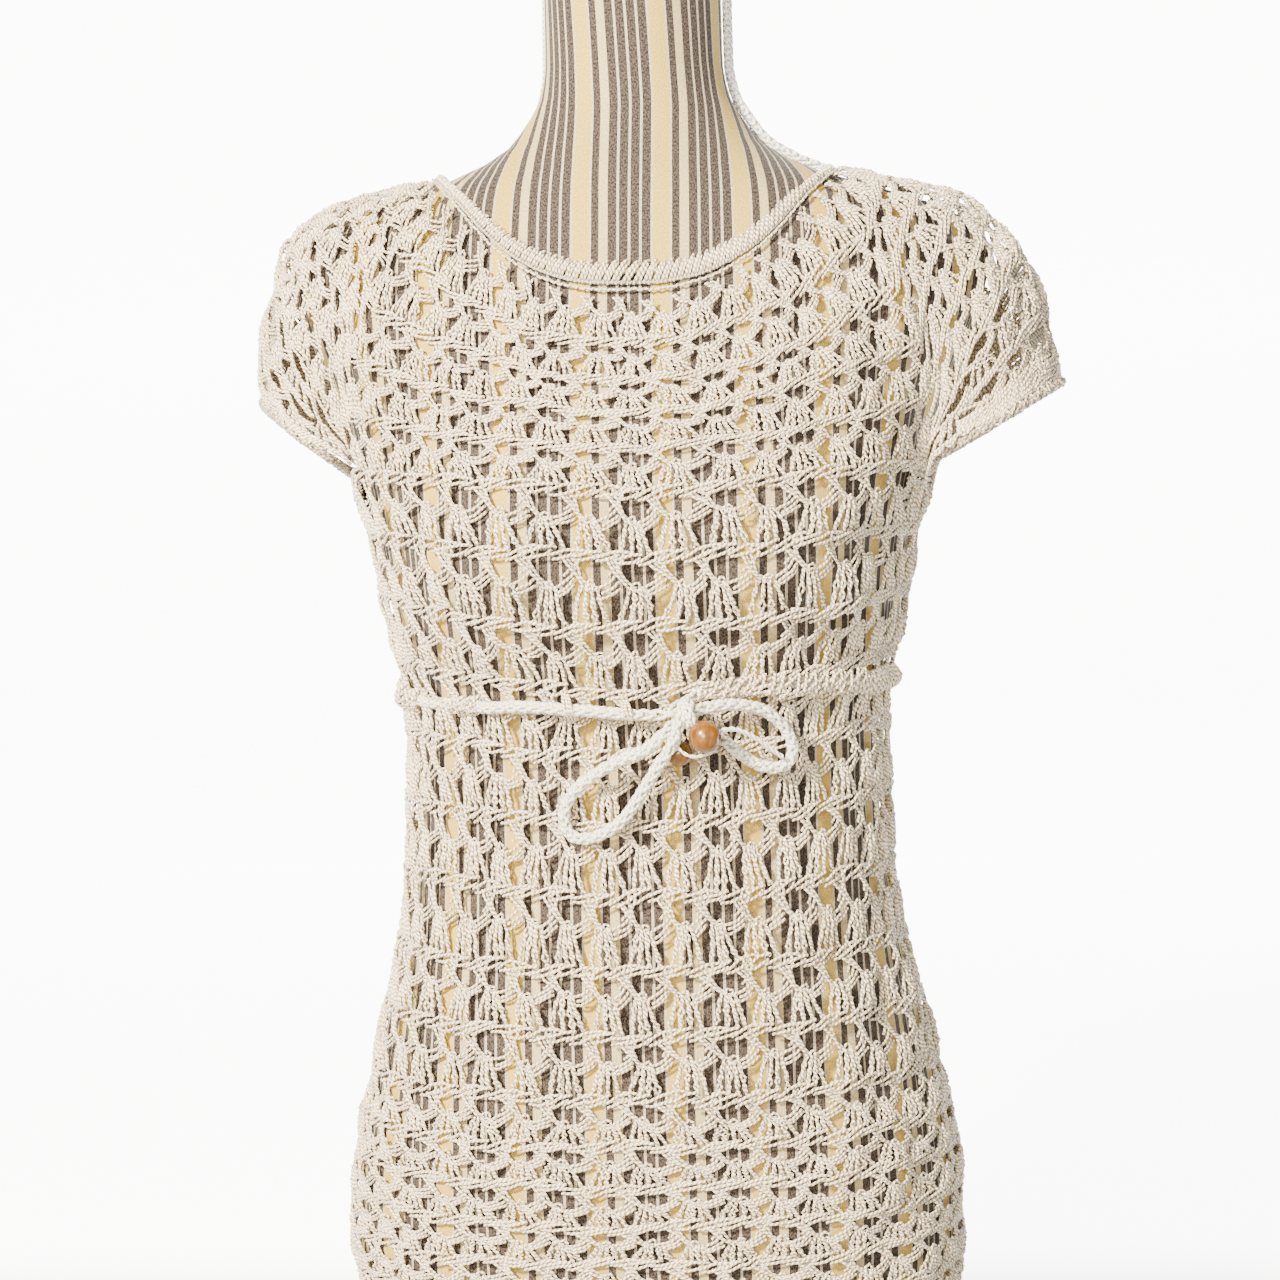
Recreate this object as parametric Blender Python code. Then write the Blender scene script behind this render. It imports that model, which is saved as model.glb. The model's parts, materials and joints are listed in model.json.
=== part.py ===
"""Crochet top with cap sleeves and a beaded drawstring, on a limbless table-top dress form.

Metres, +Z up. The form's front faces -Y, its base board stands on Z = 0, and X = 0 is its middle.
The top is worked in the round from the neck down: a neck band, a round yoke, two cap sleeves
with a corded cuff, and a body with a row ridge at each line of shells. Every cloth piece is a
wall over the form: an inner skin that rests just clear of the form, and an outer skin with the
row ridges raised in it.
"""
import math
from collections import namedtuple

import bmesh
import bpy
import numpy as np
from mathutils import Vector
from mathutils.bvhtree import BVHTree

# ---------------------------------------------------------------- driving sizes
SEAM_GAP = 0.0003          # between pieces that meet
CLOTH_GAP = 0.0010         # cloth above the form where it rests on it
WALL = 0.0030              # cloth thickness between the ridges
ROW_RIDGE = 0.0010         # how far a row ridge stands above the wall

# The form: height of a section, its half width, its reach to the front and to the back of
# the middle, and how square its outline is (2 is an ellipse).
Section = namedtuple("Section", "height half_width front back square")
FORM = [
    Section(0.000, 0.1370, 0.101, 0.100, 2.30),
    Section(0.045, 0.1450, 0.106, 0.106, 2.30),
    Section(0.085, 0.1490, 0.110, 0.111, 2.30),
    Section(0.110, 0.1550, 0.112, 0.114, 2.30),
    Section(0.137, 0.1553, 0.112, 0.115, 2.30),
    Section(0.168, 0.1510, 0.112, 0.112, 2.30),
    Section(0.199, 0.1445, 0.111, 0.106, 2.30),
    Section(0.231, 0.1362, 0.109, 0.097, 2.30),
    Section(0.262, 0.1282, 0.105, 0.088, 2.30),
    Section(0.293, 0.1230, 0.100, 0.080, 2.30),
    Section(0.330, 0.1195, 0.095, 0.072, 2.30),
    Section(0.360, 0.1192, 0.095, 0.070, 2.30),
    Section(0.390, 0.1202, 0.099, 0.073, 2.30),
    Section(0.420, 0.1265, 0.107, 0.079, 2.30),
    Section(0.450, 0.1330, 0.114, 0.087, 2.30),
    Section(0.480, 0.1385, 0.117, 0.093, 2.30),
    Section(0.510, 0.1455, 0.115, 0.097, 2.30),
    Section(0.540, 0.1545, 0.109, 0.099, 2.25),
    Section(0.570, 0.1680, 0.101, 0.098, 2.15),
    Section(0.595, 0.1780, 0.093, 0.094, 2.00),
    Section(0.612, 0.1815, 0.087, 0.089, 1.85),
    Section(0.622, 0.1800, 0.083, 0.085, 1.78),
    Section(0.630, 0.1720, 0.080, 0.082, 1.72),
    Section(0.637, 0.1600, 0.077, 0.079, 1.70),
    Section(0.643, 0.1430, 0.074, 0.076, 1.70),
    Section(0.650, 0.1200, 0.071, 0.074, 1.70),
    Section(0.657, 0.0970, 0.066, 0.070, 1.75),
    Section(0.664, 0.0800, 0.060, 0.066, 1.90),
    Section(0.673, 0.0657, 0.053, 0.062, 2.00),
    Section(0.684, 0.0571, 0.047, 0.058, 2.00),
    Section(0.697, 0.0494, 0.043, 0.055, 2.00),
    Section(0.715, 0.0459, 0.041, 0.053, 2.00),
    Section(0.768, 0.0455, 0.041, 0.052, 2.00),
]
BUST_HEIGHT, BUST_REACH = 0.455, 0.011           # two soft rises in front
BUST_ANGLE, BUST_SPREAD, BUST_RISE = math.radians(34), math.radians(21), 0.036
BRIDGE_REACH, BRIDGE_SPREAD, BRIDGE_RISE = 0.004, 0.30, 0.034    # cloth across the hollow between

BASE_THICK, BASE_INSET = 0.010, 0.003            # board under the form
CAP_THICK, CAP_INSET, CAP_ROUND = 0.008, 0.0004, 0.0036    # disc that closes the neck
FORM_COLUMNS = 40
FORM_STEP = 0.0240         # height of a ring of the form below the chest
FORM_STEP_FINE = 0.0115    # and across the shoulders
FINE_FROM, FINE_TO = 0.590, 0.715
NECK_RING = 0.742          # one more ring part way up the neck

# The body of the top: height of a row ridge at the front middle, how much higher the row
# lies at the side and at the back middle, and the ease of the cloth over the form.
Row = namedtuple("Row", "height side_rise back_rise ease_front ease_side ease_back")
BODY_ROWS = [
    Row(0.4940, 0.0125, 0.010, 0.0006, 0.0030, 0.0010),
    Row(0.4627, 0.0140, 0.011, 0.0004, 0.0000, 0.0015),
    Row(0.4292, 0.0150, 0.011, 0.0040, 0.0014, 0.0040),
    Row(0.3990, 0.0130, 0.010, 0.0050, 0.0000, 0.0060),
    Row(0.3655, 0.0110, 0.009, 0.0040, 0.0018, 0.0075),
    Row(0.3315, 0.0090, 0.008, 0.0050, 0.0020, 0.0085),
    Row(0.2960, 0.0075, 0.007, 0.0045, 0.0018, 0.0075),
    Row(0.2603, 0.0060, 0.006, 0.0030, 0.0010, 0.0050),
    Row(0.2298, 0.0045, 0.005, 0.0018, 0.0002, 0.0025),
    Row(0.1986, 0.0035, 0.004, 0.0010, 0.0000, 0.0008),
    Row(0.1760, 0.0025, 0.003, 0.0008, 0.0004, 0.0004),
    Row(0.1570, 0.0020, 0.002, 0.0010, 0.0006, 0.0004),
    Row(0.1370, 0.0015, 0.002, 0.0014, 0.0003, 0.0006),
    Row(0.1198, 0.0010, 0.001, 0.0020, 0.0006, 0.0012),
    Row(0.1010, 0.0005, 0.001, 0.0026, 0.0016, 0.0022),
    Row(0.0830, 0.0000, 0.000, 0.0032, 0.0026, 0.0030),
    Row(0.0700, 0.0000, 0.000, 0.0034, 0.0032, 0.0034),
]
HALF_COLUMNS = 20          # steps round half of the body
MEAN_RADIUS = 0.13         # of the body, to turn a length round it into an angle
SUB_ROWS = 2               # steps from one ridge to the next

# The neckline in plan: half width, reach to the front and to the back, and squareness.
NECK_HALF, NECK_FRONT, NECK_BACK, NECK_SQUARE = 0.0980, 0.0895, 0.0820, 2.35
BAND_WIDE = 0.0060         # neck band, measured down the cloth
BAND_THICK = 0.0046        # at its crown; its edges are thinner
BAND_TOP, BAND_FOOT = 0.0033, 0.0036
BAND_COLUMNS = 48
YOKE_LEAD = 0.010          # from the band, this far on fixes the way the yoke sets out

# The yoke and the cap sleeves.
YOKE_ROWS = [0.0, 0.240, 0.432, 0.606, 0.790, 1.0]    # row ridges, as parts of the yoke's depth
YOKE_STEPS = [0, 0.125, 0.25, 0.375, 0.5, 0.625, 0.75, 0.875, 1.0]    # columns over the front
JOIN_ANGLE = math.radians(72)     # where sleeve and body part, round the body from the front
NECK_FRONT_ARC = 0.124            # length of neckline that the front carries on each side
SLEEVE_START = 0.62               # end of the yoke on the shoulder, as a part of the whole
SLEEVE_ROWS = 3
SLEEVE_STEPS = [1.045, 1.06, 1.13, 1.2, 1.28, 1.36, 1.43, 1.5]    # columns up to the shoulder line
YOKE_GAP = 0.0024                 # yoke above the form
TURN_GAP = 0.0032                 # and so much more where it turns over the shoulder
Sleeve = namedtuple("Sleeve", "side reach depth slope lift puff")
SLEEVES = {                       # lift and puff: how far it swells above and beyond the shoulder
    "right": Sleeve(1, 0.2142, 0.0540, 0.60, 0.0085, 0.0006),
    "left": Sleeve(-1, 0.1950, 0.0540, 0.79, 0.0005, 0.0068),
}
CUFF_START = math.radians(-25)    # where the cuff leaves the body, round its own oval
CUFF_CORD = 0.0027                # radius of the corded cuff
CUFF_FREE = 0.0016                # from the sleeve's edge to the cord
CUFF_STOPS = 34
CUFF_HANG = 0.16                  # how far the sleeve's fall leans outwards
UNDERARM = np.radians([101, 95.5, 90, 84.5, 79])    # where the cuff passes under the arm
UNDERARM_OUT = 0.0006             # there it lies a little outside the middle of the cloth

# The drawstring, round the waist from the right of the knot: angle in degrees and height.
TIE_RADIUS = 0.0031
TIE_STOPS = 62
TIE_RUN = [(13.3, 0.3955), (19, 0.3990), (24, 0.4008), (32, 0.4018), (40, 0.4008), (52, 0.3996),
           (64, 0.3990), (76, 0.3988), (90, 0.3985), (135, 0.4000), (180, 0.4020), (225, 0.4000),
           (270, 0.3970), (285, 0.3945), (300, 0.3915), (315, 0.3915), (330, 0.3938),
           (345, 0.3915), (360, 0.3886), (365.5, 0.3882)]

# The bow lies in front of the cloth: sideways place, height and rise above the row ridges.
KNOT = (0.0215, 0.3834, 0.0115)
KNOT_HALF = (0.0058, 0.0062, 0.0118)              # half its width, depth and height
LOOP_LEFT = [(0.0143, 0.3778, 0.0120), (0.0050, 0.3700, 0.0150), (-0.0058, 0.3656, 0.0132),
             (-0.0174, 0.3596, 0.0110), (-0.0272, 0.3530, 0.0088), (-0.0340, 0.3448, 0.0066),
             (-0.0362, 0.3356, 0.0048), (-0.0330, 0.3278, 0.0038), (-0.0250, 0.3262, 0.0038),
             (-0.0152, 0.3296, 0.0048), (-0.0066, 0.3364, 0.0066), (-0.0006, 0.3446, 0.0086),
             (0.0058, 0.3542, 0.0110), (0.0112, 0.3626, 0.0138), (0.0158, 0.3690, 0.0160),
             (0.0184, 0.3718, 0.0150)]
LOOP_RIGHT = [(0.0284, 0.3882, 0.0112), (0.0400, 0.3900, 0.0084), (0.0508, 0.3898, 0.0062),
              (0.0618, 0.3866, 0.0054), (0.0700, 0.3796, 0.0058), (0.0748, 0.3712, 0.0062),
              (0.0744, 0.3626, 0.0058), (0.0682, 0.3584, 0.0050), (0.0596, 0.3596, 0.0044),
              (0.0508, 0.3650, 0.0040), (0.0434, 0.3714, 0.0038), (0.0372, 0.3768, 0.0038)]
TAIL = [(0.0413, 0.3785, 0.0176), (0.0480, 0.3786, 0.0150), (0.0560, 0.3748, 0.0126),
        (0.0630, 0.3694, 0.0108), (0.0704, 0.3636, 0.0096)]
TAIL_RADIUS = 0.0012
BEADS = {"bead_front": ((0.0334, 0.3760, 0.0192), 0.0078),
         "bead_back": ((0.0206, 0.3672, 0.0067), 0.0062)}
TRIM_RADIUS = 0.0019              # gimp braid over the shoulder seams of the form
TRIM_TOP, TRIM_STOPS = 0.764, 18
TRIMS = {"form_trim_right": math.radians(94), "form_trim_left": math.radians(-102)}

COLOURS = {                       # linear colour, roughness
    "ticking": ((0.66, 0.60, 0.50), 0.85),
    "board": ((0.60, 0.47, 0.32), 0.60),
    "crochet": ((0.69, 0.62, 0.52), 0.75),
    "tie": ((0.82, 0.78, 0.70), 0.70),
    "bead": ((0.56, 0.28, 0.08), 0.25),
    "trim": ((0.78, 0.75, 0.70), 0.70),
}


# ---------------------------------------------------------------- small tools
def smooth_curve(xs, ys):
    """A monotone cubic through the points, as a function of x."""
    xs, ys = np.asarray(xs, float), np.asarray(ys, float)
    step = np.diff(xs)
    slope = np.diff(ys) / step
    tangent = np.zeros_like(ys)
    tangent[0], tangent[-1] = slope[0], slope[-1]
    for i in range(1, len(xs) - 1):
        if slope[i - 1] * slope[i] > 0:
            w1, w2 = 2 * step[i] + step[i - 1], step[i] + 2 * step[i - 1]
            tangent[i] = (w1 + w2) / (w1 / slope[i - 1] + w2 / slope[i])

    def value(x):
        x = min(max(x, xs[0]), xs[-1])
        i = min(int(np.searchsorted(xs, x, side="right")) - 1, len(xs) - 2)
        t = (x - xs[i]) / step[i]
        return ((2 * t**3 - 3 * t**2 + 1) * ys[i] + (t**3 - 2 * t**2 + t) * step[i] * tangent[i]
                + (3 * t**2 - 2 * t**3) * ys[i + 1] + (t**3 - t**2) * step[i] * tangent[i + 1])

    return value


def table_curves(rows):
    """One smooth curve of height for each other column of a table."""
    rows = sorted(rows, key=lambda row: row.height)
    heights = [row.height for row in rows]
    return {name: smooth_curve(heights, [getattr(row, name) for row in rows])
            for name in rows[0]._fields if name != "height"}


def unit(vector):
    return vector / np.linalg.norm(vector)


def by_length(points):
    """Arc length along a list of points, and a function that gives the point at a length."""
    points = np.asarray(points)
    lengths = np.concatenate([[0], np.cumsum(np.linalg.norm(np.diff(points, axis=0), axis=1))])

    def at(length):
        return np.array([np.interp(length, lengths, points[:, k]) for k in range(3)])

    return lengths[-1], at


# ---------------------------------------------------------------- the form's surface
form_at = table_curves(FORM)


def form_radius(angle, height):
    """Distance from the axis to the form's surface; angle 0 is the front, 90 degrees +X."""
    across, along = abs(math.sin(angle)), math.cos(angle)
    reach = form_at["front"](height) if along > 0 else form_at["back"](height)
    square = form_at["square"](height)
    side = form_at["half_width"](height)
    radius = ((across / side)**square + (abs(along) / reach)**square)**(-1 / square)
    turn = abs(math.atan2(math.sin(angle), math.cos(angle)))
    bust = math.exp(-((turn - BUST_ANGLE) / BUST_SPREAD)**2 - ((height - BUST_HEIGHT) / BUST_RISE)**2)
    return radius + BUST_REACH * bust


def form_point(angle, height):
    radius = form_radius(angle, height)
    return np.array([radius * math.sin(angle), -radius * math.cos(angle), height])


def form_normal(angle, height):
    turn = form_point(angle + 0.02, height) - form_point(angle - 0.02, height)
    rise = form_point(angle, height + 0.002) - form_point(angle, height - 0.002)
    return unit(np.cross(turn, rise))


def form_rings():
    """Heights of the form's rings, close together where the shoulders slope."""
    top = FORM[-1].height
    low = np.linspace(BASE_THICK + SEAM_GAP, FINE_FROM, round(FINE_FROM / FORM_STEP) + 1)
    high = np.linspace(FINE_FROM, FINE_TO, round((FINE_TO - FINE_FROM) / FORM_STEP_FINE) + 1)
    return list(low) + list(high[1:]) + [NECK_RING, top]


# ---------------------------------------------------------------- building meshes
materials = {}


def material(kind):
    if kind not in materials:
        colour, roughness = COLOURS[kind]
        made = bpy.data.materials.new(kind)
        made.use_nodes = True
        shader = made.node_tree.nodes["Principled BSDF"]
        shader.inputs["Base Color"].default_value = (*colour, 1)
        shader.inputs["Roughness"].default_value = roughness
        made.diffuse_color = (*colour, 1)
        materials[kind] = made
    return materials[kind]


def add_mesh(name, points, faces, kind):
    mesh = bpy.data.meshes.new(name)
    mesh.from_pydata([tuple(point) for point in points], [], faces)
    work = bmesh.new()
    work.from_mesh(mesh)
    bmesh.ops.recalc_face_normals(work, faces=work.faces)
    work.to_mesh(mesh)
    work.free()
    mesh.materials.append(material(kind))
    mesh.shade_smooth()
    made = bpy.data.objects.new(name, mesh)
    bpy.context.scene.collection.objects.link(made)
    return made


def wall(name, inner, outer, kind, closed=False):
    """A closed wall between two grids of points; a closed one joins its last column to its first."""
    columns, rows = len(inner), len(inner[0])
    points = [point for grid in (inner, outer) for column in grid for point in column]

    def spot(layer, column, row):
        return layer * columns * rows + (column % columns) * rows + row

    faces = []
    for i in range(columns if closed else columns - 1):
        for j in range(rows - 1):
            faces.append([spot(0, i, j), spot(0, i, j + 1), spot(0, i + 1, j + 1), spot(0, i + 1, j)])
            faces.append([spot(1, i, j), spot(1, i + 1, j), spot(1, i + 1, j + 1), spot(1, i, j + 1)])
        for j in (0, rows - 1):
            faces.append([spot(0, i, j), spot(0, i + 1, j), spot(1, i + 1, j), spot(1, i, j)])
    if not closed:
        for i in (0, columns - 1):
            for j in range(rows - 1):
                faces.append([spot(0, i, j), spot(1, i, j), spot(1, i, j + 1), spot(0, i, j + 1)])
    return add_mesh(name, points, faces, kind)


def lathe(name, rings, kind):
    """A solid through closed rings of equal point counts, with a flat face at each end."""
    count = len(rings[0])
    points = [point for ring in rings for point in ring]
    faces = [list(range(count)), list(range((len(rings) - 1) * count, len(rings) * count))]
    for k in range(len(rings) - 1):
        for i in range(count):
            j = (i + 1) % count
            faces.append([k * count + i, k * count + j, (k + 1) * count + j, (k + 1) * count + i])
    return add_mesh(name, points, faces, kind)


def cord(name, points, radius, kind, cyclic=False, sides=2):
    """A round cord through its points, as a curve with a bevel and filled ends."""
    curve = bpy.data.curves.new(name, "CURVE")
    curve.dimensions = "3D"
    curve.bevel_depth = radius
    curve.bevel_resolution = sides
    curve.use_fill_caps = not cyclic
    spline = curve.splines.new("POLY")
    spline.points.add(len(points) - 1)
    for target, point in zip(spline.points, points):
        target.co = (*point, 1)
    spline.use_cyclic_u = cyclic
    curve.materials.append(material(kind))
    made = bpy.data.objects.new(name, curve)
    bpy.context.scene.collection.objects.link(made)
    return made


def smooth_route(stops, count, closed=False):
    """Points at even spacing on a smooth curve through a route's own stops."""
    stops = [np.asarray(stop, float) for stop in stops]
    last = len(stops)
    dense = []
    for i in range(last if closed else last - 1):
        if closed:
            before, start, end, after = (stops[(i + k) % last] for k in (-1, 0, 1, 2))
        else:
            before, start = stops[max(i - 1, 0)], stops[i]
            end, after = stops[i + 1], stops[min(i + 2, last - 1)]
        for t in np.linspace(0, 1, 12, endpoint=False):
            dense.append(0.5 * (2 * start + (end - before) * t
                                + (2 * before - 5 * start + 4 * end - after) * t**2
                                + (3 * start - before - 3 * end + after) * t**3))
    dense.append(stops[0] if closed else stops[-1])
    length, at = by_length(dense)
    return [at(length * k / count) for k in range(count)] if closed else \
        [at(length * k / (count - 1)) for k in range(count)]


# ---------------------------------------------------------------- the form
def build_form():
    angles = [2 * math.pi * i / FORM_COLUMNS for i in range(FORM_COLUMNS)]
    rings = [[form_point(angle, height) for angle in angles] for height in form_rings()]
    torso = lathe("form_torso", rings, "ticking")

    def ring(height, by, z):
        """The form's outline at a height, drawn in by so much and laid at z."""
        sides = [(angle, form_radius(angle, height) - by) for angle in angles]
        return [(radius * math.sin(angle), -radius * math.cos(angle), z) for angle, radius in sides]

    lathe("form_base", [ring(0.0, BASE_INSET, 0.0), ring(0.0, BASE_INSET, BASE_THICK)], "board")
    neck = FORM[-1].height
    under = neck + SEAM_GAP
    lathe("form_neck_cap", [ring(neck, CAP_INSET, under), ring(neck, CAP_INSET, under + CAP_THICK * 0.6),
                            ring(neck, CAP_INSET + CAP_ROUND, under + CAP_THICK)], "ticking")
    mesh = torso.data
    return BVHTree.FromPolygons([v.co for v in mesh.vertices], [list(p.vertices) for p in mesh.polygons])


def lifted(point, tree, gap):
    """The point itself, or where it comes to rest above the form if it lies lower than the gap."""
    near, normal, _, _ = tree.find_nearest(Vector(point))
    if (Vector(point) - near).dot(normal) < gap:
        return np.array(near + normal * gap)
    return np.asarray(point)


# ---------------------------------------------------------------- the body of the top
row_at = table_curves(BODY_ROWS)


def row_height(row_place, angle):
    """Height of a place between two row ridges, 0 at the underarm and 16 at the hem."""
    numbers = range(len(BODY_ROWS))
    side = math.sin(angle)**2
    back = (1 - math.cos(angle)) / 2
    heights = [row.height + row.side_rise * side + row.back_rise * back * (1 - side) for row in BODY_ROWS]
    return float(np.interp(row_place, numbers, heights))


def body_ease(angle, height):
    side = math.sin(angle)**2
    front = max(math.cos(angle), 0)**2
    back = max(-math.cos(angle), 0)**2
    return (row_at["ease_front"](height) * front + row_at["ease_side"](height) * side
            + row_at["ease_back"](height) * back)


def body_inner(angle, height):
    """The inside of the cloth, which bridges the hollow between the two rises of the bust."""
    bridge = BRIDGE_REACH * math.exp(-(angle / BRIDGE_SPREAD)**2
                                     - ((height - BUST_HEIGHT + BRIDGE_REACH) / BRIDGE_RISE)**2)
    out = CLOTH_GAP + body_ease(angle, height) + bridge
    return form_point(angle, height) + form_normal(angle, height) * out


def ridge(row_place):
    """Height of the ridge at a place between rows: 1 on a row, 0 half way to the next."""
    return abs(2 * (row_place % 1) - 1)


def build_body():
    places = np.linspace(0, len(BODY_ROWS) - 1, (len(BODY_ROWS) - 1) * SUB_ROWS + 1)
    for name, start in (("body_front", -math.pi / 2), ("body_back", math.pi / 2)):
        inner, outer = [], []
        for i in range(HALF_COLUMNS + 1):
            part = i / HALF_COLUMNS
            seam = SEAM_GAP / 2 / MEAN_RADIUS * (1 - 2 * part)
            angle = start + math.pi * part + seam
            turn = math.atan2(math.sin(angle), math.cos(angle))
            columns = [], []
            for place in places:
                height = row_height(place, turn) - (SEAM_GAP / 2 if place == 0 else 0)
                skin = body_inner(turn, height)
                columns[0].append(skin)
                thick = WALL + ROW_RIDGE * ridge(place)
                columns[1].append(skin + form_normal(turn, height) * thick)
            inner.append(columns[0])
            outer.append(columns[1])
        wall(name, inner, outer, "crochet")


# ---------------------------------------------------------------- neckline, yoke and sleeves
def neck_point(turn, out, tree):
    """On the form, at the neckline's oval widened by out; turn 0 is the front, 180 the back."""
    sine, cosine = math.sin(turn), math.cos(turn)
    half, reach = NECK_HALF + out, (NECK_FRONT if cosine > 0 else NECK_BACK) + out
    x = half * math.copysign(abs(sine)**(2 / NECK_SQUARE), sine)
    y = -reach * math.copysign(abs(cosine)**(2 / NECK_SQUARE), cosine)
    angle, radius = math.atan2(x, -y), math.hypot(x, y)
    low, high = 0.56, 0.70
    for _ in range(30):
        middle = (low + high) / 2
        if form_radius(angle, middle) > radius:
            low = middle
        else:
            high = middle
    return lifted([x, y, low], tree, 1.5 * CLOTH_GAP)


def neck_rings(tree):
    """The start of the yoke, and a line further down, as curves by length from front to back."""
    turns = np.linspace(0, math.pi, 121)
    return [by_length([neck_point(turn, out, tree) for turn in turns])
            for out in (BAND_WIDE + 1.5 * SEAM_GAP, BAND_WIDE + YOKE_LEAD)]


class Yoke:
    """The surface from the neck band down to the body and the cuff, on one side of the form.

    Along the ring a place runs from 0 at the front middle to 3 at the back middle: 0 to 1 over
    the front, 1 to 2 over the sleeve and 2 to 3 over the back. Down the cloth it runs 0 to 1.
    """

    STEPS = 24                     # places kept in each of the three stretches
    DOWN = 24

    def __init__(self, sleeve, tree):
        self.sleeve = sleeve
        self.tree = tree
        (self.half, self.neck), (self.far_half, self.far_neck) = neck_rings(tree)
        front = [body_inner(angle, row_height(0, angle)) for angle in np.linspace(0, JOIN_ANGLE, 41)]
        back = [body_inner(angle, row_height(0, angle))
                for angle in np.linspace(math.pi - JOIN_ANGLE, math.pi, 41)]
        self.front_join, self.back_join = front[-1], back[0]
        cuff = [self.cuff_point(t) for t in np.linspace(0, 1, 61)]
        self.lower = [by_length(front), by_length(cuff), by_length(back)]
        self.grid = self.drape()

    def cuff_point(self, t):
        """Along the cuff's oval, from the front join (0) over the outside (1/2) to the back (1)."""
        turn = CUFF_START + (math.pi - 2 * CUFF_START) * t
        inner = (self.front_join[0] + self.back_join[0]) / 2
        wide = (self.sleeve.reach - inner) / (1 - math.sin(CUFF_START))
        x = self.sleeve.reach - wide * (1 - math.sin(turn))
        middle = (self.front_join[1] + self.back_join[1]) / 2
        spread = (self.back_join[1] - self.front_join[1]) / 2 / math.cos(CUFF_START)
        fuller = self.sleeve.depth / spread
        spread *= 1 + (fuller - 1) * math.sin(math.pi * t)
        y = middle - spread * math.cos(turn)
        z = self.front_join[2] + (self.back_join[2] - self.front_join[2]) * t
        z += self.sleeve.slope * (x - inner)
        ends = self.front_join if t < 0.5 else self.back_join
        pull = max(0.0, 1 - 8 * min(t, 1 - t))
        return np.array([x + (ends[0] - inner) * pull, y, z])

    def neck_length(self, place, half):
        front = NECK_FRONT_ARC * half / self.half
        stops = [0, front, half - front, half]
        return float(np.interp(place, [0, 1, 2, 3], stops))

    def path(self, place):
        """Start, end and the two directions of the cloth's fall at a place along the ring."""
        start = self.neck(self.neck_length(place, self.half))
        far = self.far_neck(self.neck_length(place, self.far_half))
        part = min(int(place), 2)
        length, lower = self.lower[part]
        end = lower(length * (place - part))
        angle = math.atan2(end[0], -end[1])
        drop = body_inner(angle, end[2] - 0.01) - body_inner(angle, end[2])
        over = math.sin(math.pi * min(max(place - 1, 0), 1))
        fall = unit(unit(drop) * (1 - over) + np.array([CUFF_HANG, 0, -1]) * over)
        return start, unit(far - start), end, fall, over

    def drape(self):
        columns = []
        for i in range(3 * self.STEPS + 1):
            start, away, end, fall, over = self.path(i / self.STEPS)
            span = np.linalg.norm(end - start)
            lead, tail = span * (1.0 + 0.35 * over), span * (0.9 + 0.65 * over)
            column = []
            for j in range(self.DOWN + 1):
                t = j / self.DOWN
                column.append((2 * t**3 - 3 * t**2 + 1) * start + (t**3 - 2 * t**2 + t) * lead * away
                              + (3 * t**2 - 2 * t**3) * end + (t**3 - t**2) * tail * fall)
            length, at = by_length(column)
            even = [at(length * j / self.DOWN) for j in range(self.DOWN + 1)]
            for j, point in enumerate(even):
                down = j / self.DOWN
                point[2] += self.sleeve.lift * over * math.sin(math.pi * down)
                point[0] += self.sleeve.puff * over * math.sin(math.pi * down**2.5)
            columns.append([lifted(point, self.tree, YOKE_GAP) for point in even])
        grid = np.array(columns)
        for _ in range(3):         # ease out the small steps that lifting leaves
            calm = grid.copy()
            calm[1:-1, 1:-1] = (grid[:-2, 1:-1] + grid[2:, 1:-1] + grid[1:-1, :-2] + grid[1:-1, 2:]) / 4
            grid = (grid + calm) / 2
            for i in range(len(grid)):
                for j in range(1, self.DOWN):
                    grid[i, j] = lifted(grid[i, j], self.tree, YOKE_GAP)
        return grid

    def inner(self, place, down):
        a, b = place * self.STEPS, down * self.DOWN
        i, j = min(int(a), 3 * self.STEPS - 1), min(int(b), self.DOWN - 1)
        p, q = a - i, b - j
        g = self.grid
        return ((1 - p) * (1 - q) * g[i, j] + p * (1 - q) * g[i + 1, j]
                + (1 - p) * q * g[i, j + 1] + p * q * g[i + 1, j + 1])

    def normal(self, place, down):
        a, b = 0.6 / self.STEPS, 0.6 / self.DOWN
        low, high = max(place - a, 0), min(place + a, 3)
        around = self.inner(high, down) - self.inner(low, down)
        along = self.inner(place, min(down + b, 1)) - self.inner(place, max(down - b, 0))
        own = unit(np.cross(along, around))
        if 1 < place < 2 or down < 0.85:
            return own
        end = self.inner(place, 1)         # towards the body the walls turn to stand as its wall
        weight = (down - 0.85) / 0.15
        return unit(own * (1 - weight) + form_normal(math.atan2(end[0], -end[1]), end[2]) * weight)

    def at(self, place, down, out):
        over = math.sin(math.pi * min(max(place - 1, 0), 1))
        gap = CLOTH_GAP + (YOKE_GAP - CLOTH_GAP) * min(1, 8 * (1 - down))
        gap += TURN_GAP * over * math.sin(math.pi * down)
        point = np.asarray(lifted(self.inner(place, down), self.tree, gap))
        point = point + self.normal(place, down) * out
        if place in (0, 3):
            point[0] = 0.0
        return point * np.array([self.sleeve.side, 1, 1])

    def yoke_end(self, place):
        """How far down the yoke runs: all the way over the body, part way over a sleeve."""
        over = min(max(place - 1, 0), 1)
        return 1 - (1 - SLEEVE_START) * math.sin(math.pi * over)**0.7

    def span(self, place):
        return float(np.linalg.norm(np.diff(self.grid[round(place * self.STEPS)], axis=0), axis=1).sum())


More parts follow.
